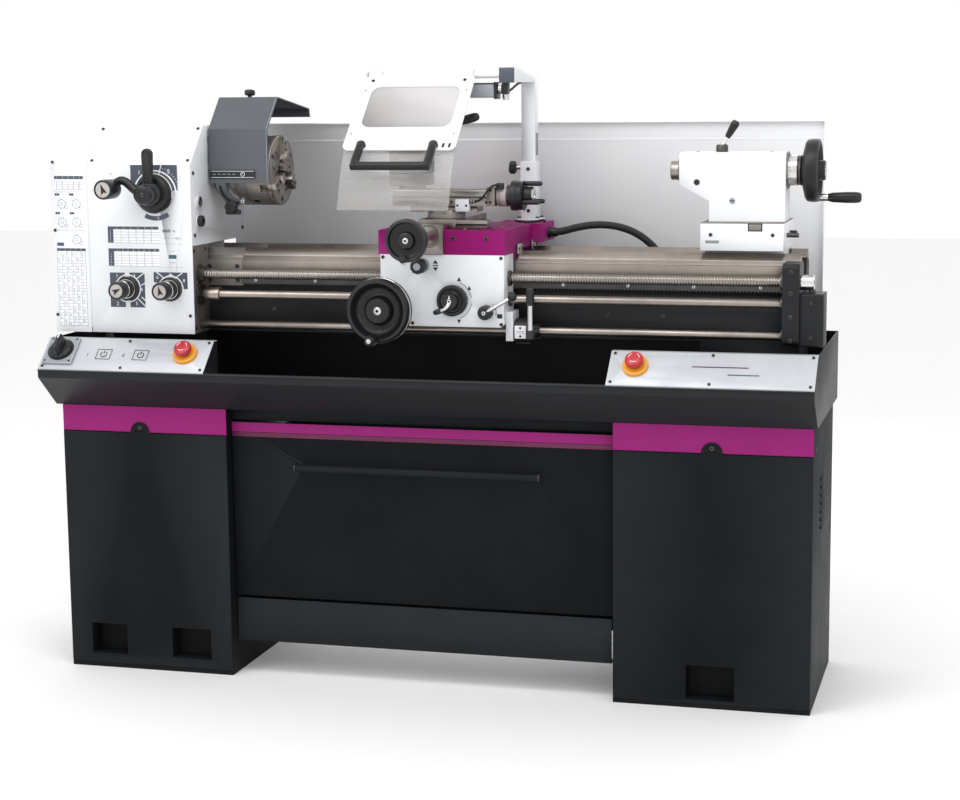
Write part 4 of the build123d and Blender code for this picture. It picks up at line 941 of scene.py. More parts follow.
g = G("range_lever_detail", "range", "black_plastic")
T2 = FY(-623, 1105)
g.rev([(0, 241), (22, 241), (22, 258), (20, 262), (16, 264), (6, 264), (5, 262), (0, 262)], T2, ["black"] * 6 + ["hole"], 48)
d = Vector((-77, 0, 13))
L = d.length
ang = math.atan2(13, -77)
R = Matrix.Translation((-623, 0, 1105)) @ Matrix.Rotation(-ang, 4, "Y")
# arm: a tapering bar with a crank near its outer end
vs = []
g.tube([(-623, -251, 1105), (-645, -251.5, 1117), (-668, -251.5, 1135), (-684, -251.5, 1134), (-700, -251, 1118)], [12, 10.5, 9.5, 9.5, 10], "black", 16, 8)
TK = FY(-700, 1118)
round_knob(g, TK, 22, 246, 300, "black", None, 0, 0.35)
g.rev([(0, 244), (15, 244), (15, 248), (0, 248)], TK, "chrome", 36)
g.screw((-623, -262.2, 1105), (0, -1, 0), 5, "steel_dark", 1.6)
o = g.build()
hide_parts("range_lever")

for nm, x, turn in (("left", -698, -1.1), ("right", -592, 0.25)):
    g = G("feed_knob_%s_detail" % nm, "knob_" + nm, "black_plastic")
    round_knob(g, FY(x, 889), 20, 199, 255, "black", (27, 190.4, 202), 0, turn)
    g.rev([(20.2, 224), (20.8, 224.4), (20.8, 226.6), (20.2, 227)], FY(x, 889), "chrome", 48, None, True)
    o = g.build()
    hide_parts("feed_knob_" + nm)

# ------------------------------------------------------------------ console controls
DY, DZ = 70 / 64.0, 1.0
sn = Vector((0, -0.67476, 0.73802))


def slope(x, z, h=0.0):
    return Vector((x, -300 + (z - 712) * 70 / 64.0, z + 1.5)) + sn * h


SU = Vector((0, 0.73802, 0.67476))          # up the slope


def TS(x, z, h=0.0):
    M = Matrix((Vector((1, 0, 0)), SU, sn)).transposed().to_4x4()
    M.translation = slope(x, z, h)
    return M


T = TS(-833, 747)
g = G("main_switch_detail", "main_switch", "black_plastic")
g.rev([(0, 8.4), (27, 8.4), (27, 13), (25, 15.5), (21, 17), (0, 17)], T, "black", 56, lambda i, a, r: r * (1 - 0.035 * (math.sin(a * 12) > 0.2)) if i in (1, 2) else r)
bm = bmesh.new()
bmesh.ops.create_cube(bm, size=1)
for v in bm.verts:
    v.co = Vector((v.co.x * 14, v.co.y * 48, 27 + v.co.z * 24))
bmesh.ops.bevel(bm, geom=bm.edges[:], offset=3.5, segments=3, affect="EDGES")
bm.verts.index_update()
g.from_bm(bm, "black", T)
g.prism([(-1.6, 10), (1.6, 10), (1.6, 22), (-1.6, 22)], T, 38.6, 39.5, "label_white", 0.2)
o = g.build()
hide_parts("main_switch_knob")
for nm, x in (("left", -530), ("right", 491)):
    g = G("estop_%s_detail" % nm, "stop_" + nm, "red_plastic")
    T = TS(x, 747)
    g.rev([(0, 10.3), (11.5, 10.3), (11.5, 17.5), (13, 18.5), (19.2, 18.6), (20, 20), (20, 25), (18.6, 28.5), (14, 31), (7, 32), (0, 32)], T,
          ["steel_dark", "steel_dark"] + ["red"] * 8, 56)
    for q in range(3):
        a = q * 2 * pi / 3
        pts = [(11.5 * math.cos(a + t * 0.13), 11.5 * math.sin(a + t * 0.13), 31.75 - 0.06 * t) for t in range(9)]
        g.tube([T @ Vector(p) for p in pts], 0.7, "label_white", 6, 2)
    o = g.build()
    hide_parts("estop_" + nm)
g = G("console_details", "machine")
for x in (-530, 491):
    T = TS(x, 747)
    g.rev([(12.0, 0.0), (27.8, 0.0), (27.8, 8.6), (26.2, 10.5), (13, 10.5), (12.0, 9.6)], T, ["yellow"] * 6, 56, None, True)
    g.rev([(0, -0.2), (33, -0.2), (33, 0.5), (0, 0.5)], T, "label_white", 48)
# main switch base: grey square with a ring
bm = bmesh.new()
bmesh.ops.create_cube(bm, size=1)
for v in bm.verts:
    v.co = Vector((v.co.x * 72.6, v.co.y * 76.6, 4 + v.co.z * 9))
bmesh.ops.bevel(bm, geom=bm.edges[:], offset=1.6, segments=2, affect="EDGES")
bm.verts.index_update()
g.from_bm(bm, "label_grey", TS(-833, 747))
g.rev([(0, 8.0), (31, 8.0), (31, 8.9), (0, 8.9)], TS(-833, 747), "label_black", 48)
T = TS(-833, 747)
for s, px, py in (("0", -3, 30.5), ("1", 28.5, -3)):
    g.text(s, T @ Vector((px, py, 8.6)), 6, "label_black", (1, 0, 0), SU, 0.62, 0.2)
for px in (-30, 30):
    for py in (-32, 32):
        g.screw(T @ Vector((px, py, 8.5)), sn, 2.6, "steel_dark", 0.9)
# plate screws, six on each plate, and the status icons
for x0, x1 in ((-877, -474), (434, 869)):
    for x in (x0 + 9, (x0 + x1) / 2, x1 - 9):
        for z in (718, 771):
            if not (x < -860 and z > 800):
                g.screw(slope(x, z, 1.6), sn, 3.4, "steel_dark", 1.6)
for x in (-728, -638):
    T = TS(x, 744, 1.6)
    # rounded frame round a power sign
    pts = [(-17, -14), (17, -14), (17, 14), (-17, 14)]
    for (ax, ay), (bx, by) in zip(pts, pts[1:] + pts[:1]):
        g.tube([T @ Vector((ax, ay, 0.2)), T @ Vector((bx, by, 0.2))], 0.55, "label_black", 6, 1)
    arcp = [T @ Vector((7.5 * math.cos(a), 7.5 * math.sin(a), 0.25)) for a in [pi * 0.5 + 0.55 + k * (2 * pi - 1.1) / 20 for k in range(21)]]
    g.tube(arcp, 0.8, "label_black", 6, 1)
    g.tube([T @ Vector((0, 2, 0.25)), T @ Vector((0, 10, 0.25))], 0.8, "label_black", 6, 1)
for x in (-770, -682):
    g.text("1" if x < -700 else "0", slope(x, 740, 1.7), 8, "label_black", (1, 0, 0), SU, 0.62, 0.15)
# right plate: a neutral two-line stripe in place of any wording
T = TS(690, 742, 1.6)
for px, w, py, hh, mt in ((-20, 118, 11, 2.2, "purple_dark"), (30, 66, -9, 2.2, "label")):
    g.prism([(px - w / 2, py - hh / 2), (px + w / 2, py - hh / 2), (px + w / 2, py + hh / 2), (px - w / 2, py + hh / 2)], T, -0.1, 0.35, mt, 0.1)
g.build()

# ------------------------------------------------------------------ chuck, guard
g = G("chuck_details", "spindle_unit", "machined_steel")
TC = FX(0, 1150)
# face rings, key sockets and mounting screws
for r, w_ in ((78.6, 1.0), (58, 0.8), (38, 0.8)):
    g.rev([(r - w_, -390.05), (r, -390.05), (r, -389.6), (r - w_, -389.6)], TC, "steel_dark", 72, None, True)
for q in range(3):
    a = math.radians(90 + 120 * q + 60)
    c = Vector((-389.9, 66 * math.cos(a), 1150 + 66 * math.sin(a)))
    g.screw(c, (1, 0, 0), 6.5, "steel_dark", 0.4)
    for dr in (-0.42, 0.42):
        c = Vector((-389.9, 50 * math.cos(a + dr), 1150 + 50 * math.sin(a + dr)))
        g.screw(c, (1, 0, 0), 4.2, "steel_dark", 0.3)
    # square key sockets on the rim
    a2 = math.radians(90 + 120 * q + 30)
    n_ = Vector((0, math.cos(a2), math.sin(a2)))
    p = Vector((-436, 79.6 * math.cos(a2), 1150 + 79.6 * math.sin(a2)))
    T = frame_at(p, n_, (1, 0, 0))
    g.rev([(8, 0.0), (11, 0.0), (11, 1.0), (8, 1.0)], T, "chuck_steel", 32, None, True)
    # the socket is a flat square of painted shade
    g.prism([(-5.5, -5.5), (5.5, -5.5), (5.5, 5.5), (-5.5, 5.5)], T, 0.2, 0.75, "hole", 0)
for x, mt in ((-452, "steel_dark"), (-402, "steel_dark"), (-474, "steel_dark")):
    g.rev([(79.7, x - 0.8), (80.25, x - 0.5), (80.25, x + 0.5), (79.7, x + 0.8)], TC, mt, 80, None, True)
g.build()
for q in (1, 2, 3):
    a = math.radians((90, 210, 330)[q - 1])
    n_ = Vector((0, math.cos(a), math.sin(a)))
    g = G("jaw_%d_marks" % q, "jaw_" + "abc"[q - 1], "machined_steel")
    # screws that hold the top jaw
    for rr in (48, 62):
        p = Vector((-378.9, 0, 1150)) + n_ * rr
        g.screw(p, (1, 0, 0), 4.0, "steel_dark", 0.5)
    g.build()

g = G("chuck_guard_details", "guard", "slate_paint")
# label strip at the foot of the front plate
g.box(-529, -419, -94.2, -92.8, 1135, 1153.4, "label_black", 0.5)
line_(g, -526, 1137.2, -422, 1137.2, 0.8, "label_white", 0.4, -94.0)
line_(g, -526, 1151.2, -422, 1151.2, 0.8, "label_white", 0.4, -94.0)
ring_(g, -449, 1144.3, 4.6, 0.9, "label_white", 0.5, -94.1)
line_(g, -449, 1144.3, -449, 1147.5, 0.9, "label_white", 0.6, -94.1)
for k in range(5):
    line_(g, -522 + 12 * k, 1144.3, -515 + 12 * k, 1144.3, 1.4, "label_grey", 0.5, -94.0)
# bright rolled edge along the front's sides, a light grey line of painted highlight
g.tube([(-390.5, -91.6, 1126), (-390.5, -91.6, 1246.5), (-390.5, -21.8, 1316.5)], 0.9, "label_grey", 6, 1)
# clamp knob on the top slope and hinge screws at the left
T = frame_at((-470, -21, 1319), (0, -0.3, 1))
g.rev([(0, -1), (5, -1), (5, 4), (11, 5), (12.5, 8), (12.5, 14), (10, 17), (0, 17.5)], frame_at((-468, 10, 1317.2), (0, 0.13, 1)), "black", 36,
      lambda i, a, r: r * (1 - 0.06 * (0.5 + 0.5 * math.cos(a * 8))) if i in (4, 5) else r)
for z in (1150, 1222):
    g.screw((-532.6, -60 if z < 1200 else 100, z), (-1, 0, 0), 4.5, "steel_dark", 2)
g.build()
# slotted strap that swings under the chuck, ending at a clamp knob
g = G("guard_strap", "guard", "slate_paint")
outer = [(-520, 1127), (-516, 1112), (-508, 1096), (-495, 1081), (-480, 1073), (-462, 1072), (-448, 1079)]
inner = [(-448, 1093), (-460, 1088), (-474, 1092), (-486, 1103), (-492, 1115), (-494, 1127)]
g.prism([(x, z) for x, z in outer + inner][::-1], FY(0, 0, -86), 0, 3, "slate", 0.5)
# the slot is a dark bar of painted shade
g.tube([(-507, -89.6, 1118), (-502, -89.6, 1102), (-490, -89.6, 1088), (-474, -89.6, 1081), (-460, -89.6, 1080)], 2.6, "hole", 8, 5)
TKk = FY(-478, 1062)
g.rev([(0, 74), (4, 74), (4, 86), (0, 86)], TKk, "chrome", 20)
g.rev([(0, 89), (13, 89), (15.5, 92), (15.5, 100), (13, 103), (6, 104), (0, 104)], FY(-478, 1070), "black", 40, lambda i, a, r: r * (1 - 0.07 * (0.5 + 0.5 * math.cos(a * 7))) if i in (1, 2, 3, 4) else r)
g.screw((-452, -89, 1083), (0, -1, 0), 4.5, "chrome", 3)
g.box(-497, -459, -90, -80, 1052, 1064, "black", 4)
g.build()
# bracket that carries the guard's pivot on the headstock
g = G("guard_pivot", "machine", "cast_iron")
g.rev([(0, -537.2), (13, -537.2), (13, -533.2), (0, -533.2)], FX(100, 1222), "black", 32)
g.build()

# ------------------------------------------------------------------ hand wheels
def ticks(g, T, r, h0, h1, n_, mat="label_black", long=5):
    """Graduation lines on a drum of radius r, between heights h0 and h1."""
    for k in range(n_):
        a = 2 * pi * k / n_
        top = h1 if k % long == 0 else h0 + (h1 - h0) * 0.55
        c, s = math.cos(a), math.sin(a)
        e = 0.28
        vs = []
        for rr in (r - 0.15, r + 0.22):
            for hh in (h0, top):
                for w_ in (-e, e):
                    vs.append(T @ Vector((rr * c - w_ * s, rr * s + w_ * c, hh)))
        g.add(vs, [(0, 1, 3, 2), (4, 6, 7, 5), (0, 4, 5, 1), (2, 3, 7, 6), (0, 2, 6, 4), (1, 5, 7, 3)], mat)


# carriage hand wheel: dished black disc with a rolled rim, three dimples, dial behind
T = FY(-72, 858)
g = G("carriage_handwheel_detail", "carriage_wheel", "black_plastic")
g.rev([(0, 236.4), (34, 236.4), (34, 246), (60, 248), (66, 246.5), (69.5, 248), (71, 254), (71, 262), (71, 276), (69.6, 282), (66, 286), (61, 286), (57.5, 281), (55, 271),
       (48, 264), (38, 262), (33, 264), (30, 274), (26, 279), (16, 281), (9, 281), (8, 279), (0, 279)], T,
      ["black"] * 20 + ["chrome", "chrome"], 96)
g.rev([(70.9, 265), (71.5, 265.5), (71.5, 268.5), (70.9, 269)], T, "chrome", 96, None, True)
g.screw((-72, -279.2, 858), (0, -1, 0), 7, "chrome", 3)
TH = FY(-72, 800)
g.rev([(0, 278), (9, 278), (9, 292), (0, 292)], TH, "chrome", 32)
g.rev([(0, 292), (8.5, 292), (10.5, 297), (12, 312), (12, 330), (11, 340), (8, 345), (5, 345), (5, 343), (0, 343)], TH, ["black"] * 7 + ["chrome"] * 2, 40)
for q in range(3):
    a = pi / 6 + q * 2 * pi / 3
    g.rev([(6.5, 262.5), (9, 262.5), (9, 263.6), (6.5, 263.6)], FY(-72 + 44 * math.cos(a), 858 + 44 * math.sin(a)), "black_matt", 24, None, True)
o = g.build()
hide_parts("carriage_handwheel")
g = G("carriage_wheel_dial", "carriage")
g.rev([(30.2, 190.5), (31.2, 190.5), (31.2, 235.8), (30.2, 235.8)], T, "chrome", 64, None, True)
ticks(g, T, 31.2, 222, 234, 60, "label_black")
g.build()

T = FY(22, 1017)
g = G("cross_handwheel_detail", "cross_wheel", "black_plastic")
g.rev([(0, 318.4), (32, 318.4), (32, 344), (30, 346), (33, 352), (43, 352.4), (46, 356), (46, 366), (44.5, 370.5), (41, 372), (38, 370.5), (36, 364), (28, 361), (20, 362),
       (17, 370), (13, 372), (7, 372), (6, 370), (0, 370)], T, ["chrome"] * 4 + ["black"] * 12 + ["chrome"] * 2, 80)
ticks(g, T, 32.0, 321, 333, 80, "label_black")
for k in range(8):
    a = k * pi / 4
    g.rev([(31.8, 336), (32.6, 336.5), (32.6, 343), (31.8, 343.5)], T, "steel_dark", 64, lambda i, aa, r: r * (1 + 0.012 * math.cos(aa * 40)), True) if k == 0 else None
TH = FY(22, 981)
g.rev([(0, 366), (6, 366), (6, 376), (0, 376)], TH, "chrome", 28)
g.rev([(0, 376), (6.5, 376), (8, 380), (9, 388), (8.6, 394), (6, 398), (0, 398)], TH, "black", 36)
g.screw((22, -370.2, 1017), (0, -1, 0), 5.5, "chrome", 2)
o = g.build()
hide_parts("cross_handwheel")

TX2 = FX(-70, 1097)
g = G("top_slide_handwheel_detail", "top_wheel", "black_plastic")
g.rev([(0, 147.4), (24, 147.4), (24, 168), (23, 170), (23.4, 174), (24, 178), (33, 178.4), (33, 190), (31.5, 192), (31.5, 203), (33, 205), (32, 206), (20, 206.4), (20, 226), (18, 228), (6, 228), (5.5, 226), (0, 226)],
      TX2, ["chrome", "face", "steel_dark", "steel_dark", "steel_dark"] + ["black"] * 8 + ["chrome", "chrome", "chrome", "hole", "hole"], 72)
ticks(g, TX2, 24.0, 150, 160, 60, "label_black")
for q in (90, 210, 330):
    a = math.radians(q)
    y, z = -70 + 26.5 * math.cos(a), 1097 + 26.5 * math.sin(a)
    g.rev([(0, 206), (4, 206), (5.5, 210), (5.5, 240), (4.4, 245), (2.4, 246), (0, 246)], FX(y, z), "black", 28)
o = g.build()
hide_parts("top_slide_handwheel")

TT = FX(0, 1150)
g = G("tailstock_handwheel_detail", "tail_wheel", "black_plastic")
g.rev([(0, 775.4), (33, 775.4), (33, 797), (31, 799), (33, 804.6), (28, 805.4), (30, 806), (52, 812), (61, 814), (66, 818), (68, 826), (68, 838), (66.5, 843), (62, 845), (58, 841), (55, 832),
       (45, 826), (30, 825), (22, 828), (22, 853), (20, 856), (12, 856), (11, 854), (0, 854)], TT,
      ["face", "chrome", "steel_dark", "steel_dark", "black"] + ["black"] * 14 + ["black", "black", "chrome", "chrome"], 96)
ticks(g, TT, 33.0, 778, 788, 60, "label_black")
for k in range(6):
    a = k * pi / 3
    y, z = 36 * 0, 0
g.rev([(0, 836), (8, 836), (8, 862), (0, 862)], FX(0, 1092), "chrome", 28)
g.rev([(0, 862), (8, 862), (10.5, 872), (12, 900), (12, 922), (10.5, 930), (7, 933), (0, 933)], FX(0, 1092), "black", 40)
g.screw((853.6, 0, 1150), (1, 0, 0), 7, "chrome", 2.2)
o = g.build()
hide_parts("tailstock_handwheel")

# ------------------------------------------------------------------ apron controls
T = FY(73, 875)
g = G("feed_selector_detail", "selector", "black_plastic")
g.rev([(0, 190.5), (34, 190.5), (34, 203), (31.5, 206), (27, 206), (25, 204.5), (20, 204.5), (18, 206), (18, 220), (16.5, 222), (0, 222)], T, ["black"] * 10, 72,
      lambda i, a, r: r * (1 - 0.022 * (math.cos(a * 18) > 0.35)) if i in (1,) else r)
g.tube([(73, -216, 875), (70, -220, 866), (62, -221, 858), (52, -219, 854)], [6, 5, 4.2, 4.0], "chrome", 14, 6)
g.rev([(0, 0), (4.5, 0), (6, 4), (6, 14), (4, 18), (0, 18.6)], frame_at((54, -219.4, 854.6), (-0.93, 0.1, -0.28)), "black", 24)
g.prism([(-2, 6), (2, 6), (0, 14)], FY(73, 875, -222), -0.1, 0.5, "label_white", 0)
g.screw((73, -222, 875), (0, -1, 0), 5, "chrome", 1.6)
o = g.build()
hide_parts("feed_selector")

g = G("half_nut_detail", "half_nut", "black_plastic")
T = FY(148, 850)
g.rev([(0, 190.5), (16, 190.5), (16, 206), (14, 212), (10, 214), (0, 214)], T, "black", 40)
g.tube([(148, -208, 850), (160, -209, 857), (185, -207.5, 871), (203, -205.5, 882)], [6, 5, 4.4, 4.2], "chrome", 14, 6)
g.rev([(0, -10), (5, -9.2), (8.6, -5), (10, 0), (8.6, 5), (5, 8.7), (0, 10)], frame_at((210, -205, 886), (0.86, 0.03, 0.5)), "black", 28)
g.screw((148, -213.8, 850), (0, -1, 0), 4.2, "chrome", 1.4)
o = g.build()
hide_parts("half_nut_lever")

g = G("direction_detail", "direction", "black_plastic")
T = FY(5, 951)
g.rev([(0, 190), (6, 190), (6, 209), (0, 209)], T, "chrome", 24)
g.rev([(0, 208), (14, 208), (17, 211), (17, 231), (14, 235), (9, 236), (0, 236)], T, "black", 48, lambda i, a, r: r * (1 - 0.05 * (0.5 + 0.5 * math.cos(a * 10))) if i in (2, 3) else r)
g.rev([(0, 235.4), (8, 235.4), (8, 236.4), (0, 236.4)], T, "label_grey", 24)
o = g.build()
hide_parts("feed_direction_knob")

g = G("start_lever_detail", "start_lever", "black_plastic")
TS2 = FX(-145, 806)
g.rev([(0, 203.4), (26, 203.4), (28, 205), (28, 234), (26, 236), (16, 236.4), (16, 256), (14.5, 258), (9.6, 258), (0, 258)], TS2, "black", 56)
g.box(243.8, 256, -211, -145, 798, 816, "black", 3)
g.tube([(250, -205, 802), (250, -205, 840), (250, -205, 880)], 6, "chrome", 20, 1)
g.rev([(0, 868), (8, 868), (9, 871), (9, 898), (7, 905), (0, 906)], FZ(250, -205), "black", 32)
g.rev([(0, 0), (10, 0), (10, 18), (0, 18)], FZ(250, -205, 796), "black", 28)
# white label with two screws on the drum's front
g.prism([(207, 792), (232, 792), (232, 820), (207, 820)], FY(0, 0, -172.5), -1.5, 1.2, "label_white", 0.3)
for z in (797, 815):
    g.screw((219.5, -173.6, z), (0, -1, 0), 2.6, "steel_dark", 0.8)
line_(g, 211, 804, 228, 804, 1.2, "label_grey", 0.3, -173.6)
line_(g, 211, 808, 228, 808, 1.2, "label_grey", 0.3, -173.6)
o = g.build()
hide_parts("control_lever")

g = G("apron_details", "carriage")
for x, z in ((-86, 968), (182, 968), (181.5, 823.7), (-20, 823.5)):
    g.screw((x, -190.1, z), (0, -1, 0), 3.8, "steel_dark", 1.8)
# arrow signs, drawn as plain bars and heads
for x, z, up in ((34, 957.7, 1), (34, 943.5, -1)):
    g.prism([(x - 6, z - 3 * up), (x + 6, z - 3 * up), (x, z + 5 * up)][::up], FY(0, 0, -190), -0.05, 0.5, "label_black", 0)
g.prism([(28, 949.4), (40, 949.4), (40, 951.6), (28, 951.6)], FY(0, 0, -190), -0.05, 0.5, "label_black", 0)
for x, z, s in ((87, 921, 1), (86, 829, -1), (110, 902, 1)):
    g.prism([(x - 4.6, z - 4 * s), (x + 4.6, z - 4 * s), (x, z + 5 * s)][::s], FY(0, 0, -190), -0.05, 0.5, "label_black", 0)
ring_(g, 73, 875, 42, 1.2, "label_black", 0.35, a0=0.15, a1=1.2)
ring_(g, 73, 875, 42, 1.2, "label_black", 0.35, a0=-1.2, a1=-0.15)
tile(g, 172, 846.5, 184, 837, "label_black")
ring_(g, 148, 850, 22, 1.4, "label_black", 0.35, a0=-0.3, a1=0.9)
# oil sight on the apron, and the sleeve rings of the rod bearings
T = FY(-40, 958)
g.rev([(0, 189.8), (6, 189.8), (6, 192.2), (4.6, 193), (4.4, 192), (0, 192.6)], T, ["chrome"] * 3 + ["brass"] * 3, 28)
g.rev([(0, 189.8), (15, 189.8), (15, 191.6), (6.2, 191.6), (0, 191.6)], FY(5, 951), "label_grey", 36)
for y, z, r in ((-145, 921, 11.0), (-145, 875, 9.5), (-145, 806, 9.5)):
    for x, s in ((-92, -1), (188, 1)):
        g.rev([(r + 1.2, x), (r + 6, x), (r + 6, x + s * 5), (r + 4.6, x + s * 6.2), (r + 1.2, x + s * 6.2)], FX(y, z), "steel_dark", 40, None, True)
# saddle: rail wipers and their screws, way covers, oilers, bolts
for x, s in ((-96, -1), (190, 1)):
    for y0, y1 in ((-90, -42), (42, 90)):
        g.box(min(x, x + 4 * s), max(x, x + 4 * s), y0, y1, 962, 992, "rubber", 1.2)
        g.box(min(x + 3.6 * s, x + 5.2 * s), max(x + 3.6 * s, x + 5.2 * s), y0, y1, 970, 992, "chrome", 0.4)
        for y in (y0 + 8, y1 - 8):
            g.screw((x + 5.2 * s, y, 981), (s, 0, 0), 3, "steel_dark", 1.4)
g.screw((75, -190.1, 1010), (0, -1, 0), 5, "steel_dark", 2.4)
g.screw((-70, -190.1, 1010), (0, -1, 0), 5, "steel_dark", 2.4)
g.screw((150, -190.1, 1010), (0, -1, 0), 5, "steel_dark", 2.4)
T = FY(40, 1005)
for x, y in ((-60, -160), (160, -160), (-60, 80), (85, 80), (118, -160)):
    g.screw((x, y, 1027), (0, 0, 1), 6, "steel_dark", 3)
for x, y in ((-78, -120), (-78, 40), (150, -60), (90, -150)):
    g.rev([(0, -0.2), (4, -0.2), (4, 1.2), (3, 2), (2.2, 1.4), (0, 2.2)], FZ(x, y, 1027), "brass", 24)
# machined block with a T-slot to the right of the cross-slide, and the ring on the cross screw bracket
g.box(69.5, 141, -150, -112, 1027.2, 1047, "ground", 1.2)
# T-slot drawn as a dark strip of painted shade
g.box(69.5, 141, -150.6, -149.8, 1035, 1039, "hole", 0.2)
for x in (82, 128):
    g.screw((x, -131, 1047), (0, 0, 1), 5, "steel_dark", 3)
g.rev([(22.3, 191), (27, 191), (27, 200), (25.5, 202), (22.3, 202)], FY(22, 1017), "ground", 56, None, True)
g.rev([(22.3, 306), (24, 306), (24, 316), (22.3, 316)], FY(22, 1017), "chrome", 56, None, True)
g.build()

# ------------------------------------------------------------------ compound and top slide
g = G("compound_details", "compound", "machined_steel")
T = FZ(27, -70)
g.rev([(41.8, 1049), (42.5, 1049.4), (42.5, 1056.5), (41.8, 1057)], T, "face", 72, None, True)
for k in range(36):
    a = -pi * 0.5 + math.radians((k - 18) * 5)
    c, s = math.cos(a), math.sin(a)
    g.obox((27 + 42.6 * c, -70 + 42.6 * s, 1053.5 if k % 2 == 0 else 1052.2), (0.5, 0.6, 6 if k % 2 == 0 else 3.4), "label_black", Matrix.Rotation(a, 3, "Z"), 0)
for a in (0.9, 2.3, 4.0, 5.4):
    pass
g.build()
g = G("top_slide_details", "top", "machined_steel")
# groove along the front, drawn as a dark strip of painted shade; gib screws, oiler and the strip above the groove
g.box(-88.5, 146.5, -105.3, -104.5, 1093, 1096.5, "steel_dark", 0.2)
g.box(-88.5, 146.5, -105.4, -104.5, 1108, 1110, "chrome", 0.2)
for k in range(6):
    g.screw((-72 + 40 * k, -105.2, 1084), (0, -1, 0), 3.6, "steel_dark", 1.6)
for x in (40, 120):
    g.rev([(0, 0), (4, 0), (4, 1.2), (0, 2)], FZ(x, -70, 1112), "brass", 24)
g.box(-88.8, -87.6, -100, -40, 1080, 1108, "cast", 0.3)
g.box(128, 147, -106.5, -34, 1077, 1117, "ground", 1.5)
for z in (1084, 1110):
    g.screw((137, -106.5, z), (0, -1, 0), 3.4, "steel_dark", 1.5)
# switch block with its gland and cable on the front of the slide
g.box(61, 92, -123, -105.4, 1064, 1091, "white", 2.0)
for x in (66.5, 86.5):
    g.screw((x, -123, 1077.5), (0, -1, 0), 2.6, "steel_dark", 1.0)
for k in range(5):
    g.rev([(0, 0), (5.6 - 0.35 * k, 0), (5.2 - 0.35 * k, 1.8), (4.4 - 0.35 * k, 2.2), (4.4 - 0.35 * k, 2.9), (0, 2.9)], FX(-114, 1086, 92 + 2.9 * k), "label_grey" if k % 2 else "black", 20)
g.tube([(105, -114, 1086), (116, -116, 1090), (128, -117, 1102), (138, -114, 1116), (150, -104, 1122), (158, -95, 1119)], 2.6, "black", 10, 6)
g.rev([(0, 0), (4.6, 0), (4.6, 6), (0, 6)], frame_at((157, -96, 1120), (0.6, 0.7, -0.3)), "black", 20)
g.box(148, 164, -100, -84, 1112, 1126, "black", 2.5)
g.build()
g = G("tool_post_details", "post", "machined_steel")
# three clamp screws on each of two sides and one on the front, and the tool slots' shadow lines
for i in range(3):
    for sx, sy in ((-1, 0), (1, 0)):
        g.rev([(0, 0), (5, 0), (5, 12), (4, 13), (0, 13)], FZ(-53 + sx * 31, -70 + (i - 1) * 26, 1199.6), "steel_dark", 6)
    g.rev([(0, 0), (5, 0), (5, 12), (4, 13), (0, 13)], FZ(-53 + (i - 1) * 26, -70 - 31, 1199.6), "steel_dark", 6) if i == 1 else None
for s in (-1, 1):
    g.box(-93.3, -12.7, -70 + s * 40 - 0.4, -70 + s * 40 + 0.4, 1146, 1172, "hole", 0.2)
    g.box(-53 + s * 40 - 0.4, -53 + s * 40 + 0.4, -110.3, -29.7, 1146, 1172, "hole", 0.2)
g.build()
g = G("tool_post_lever_detail", "post_lever", "black_plastic")
T = FZ(-53, -70)
g.rev([(0, 1214.4), (19, 1214.4), (19, 1238), (16, 1244), (10, 1247), (0, 1247)], T, "steel_dark", 48)
g.tube([(-53, -70, 1236), (-20, -70, 1238), (34, -70, 1248), (66, -70, 1260), (80, -70, 1265.5)], [8, 6.6, 6, 5.6, 5.6], "chrome", 18, 6)
o = g.build()
TH = frame_at((53, -70, 1258.3), (0.966, 0, 0.259))
g2 = G("tool_post_grip", "post_lever", "black_plastic")
g2.rev([(0, 0), (7, 0), (8.4, 5), (10, 22), (10, 40), (8, 49), (4, 52), (0, 52)], TH, "black", 32)
g2.build()
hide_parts("tool_post_lever")

# ------------------------------------------------------------------ shield
SE, SN = Vector((0, 0.7509, 0.6606)), Vector((0, -0.6606, 0.7509))
SO = Vector((0, -45, 1361))


def SH(u, v, h=0.0):
    return SO + Vector((1, 0, 0)) * u + SE * v + SN * h


def TSH(u, v, h=0.0):
    M = Matrix((Vector((1, 0, 0)), SE, SN)).transposed().to_4x4()
    M.translation = SH(u, v, h)
    return M


g = G("shield_details", "shield", "white_paint")
# raised lip round the window and the frame's edge
def rrect(cx, cy, w_, h_, r, n_=6):
    out = []
    for sx, sy, a0 in ((1, 1, 0), (-1, 1, pi / 2), (-1, -1, pi), (1, -1, 3 * pi / 2)):
        for k in range(n_ + 1):
            a = a0 + k * pi / 2 / n_
            out.append((cx + sx * (w_ / 2 - r) + r * math.cos(a), cy + sy * (h_ / 2 - r) + r * math.sin(a)))
    return out


loop = rrect(-33.5, -112, 208, 136, 24)
g.tube([SH(u, v, 9.3) for u, v in loop + loop[:2]], 1.1, "white", 8, 1, caps=False)
loop = rrect(-33.5, -129, 251, 238, 14)
g.tube([SH(u, v, 9.0) for u, v in loop + loop[:2]], 0.9, "white", 8, 1, caps=False)
# handle: thick U grip that reaches past the frame's lower edge
g.tube([SH(-118, -238, 12), SH(-118.5, -250, 15.5), SH(-119, -275, 15.5), SH(-118.5, -294, 15.5), SH(-111, -304.5, 15.5), SH(-98, -306, 15.5), SH(-36, -306, 15.5),
        SH(26, -306, 15.5), SH(38, -304.5, 15.5), SH(45.5, -294, 15.5), SH(46, -275, 15.5), SH(45.5, -250, 15.5), SH(45, -238, 12)],
       8.2, "black", 20, 6)
for u in (-118, 45):
    g.rev([(0, 9), (10, 9), (10, 16), (8.6, 18.4), (0, 18.4)], TSH(u, -238), "black", 32)
    g.screw(SH(u, -238, 18.2), SN, 3.4, "steel_dark", 1.4)
# window pane behind the frame; its material holds painted shade towards the lower left
g.prism(rrect(-33.5, -112, 206, 134, 23, 4), TSH(0, 0, 0), 5.95, 6.6, "pane", 0)
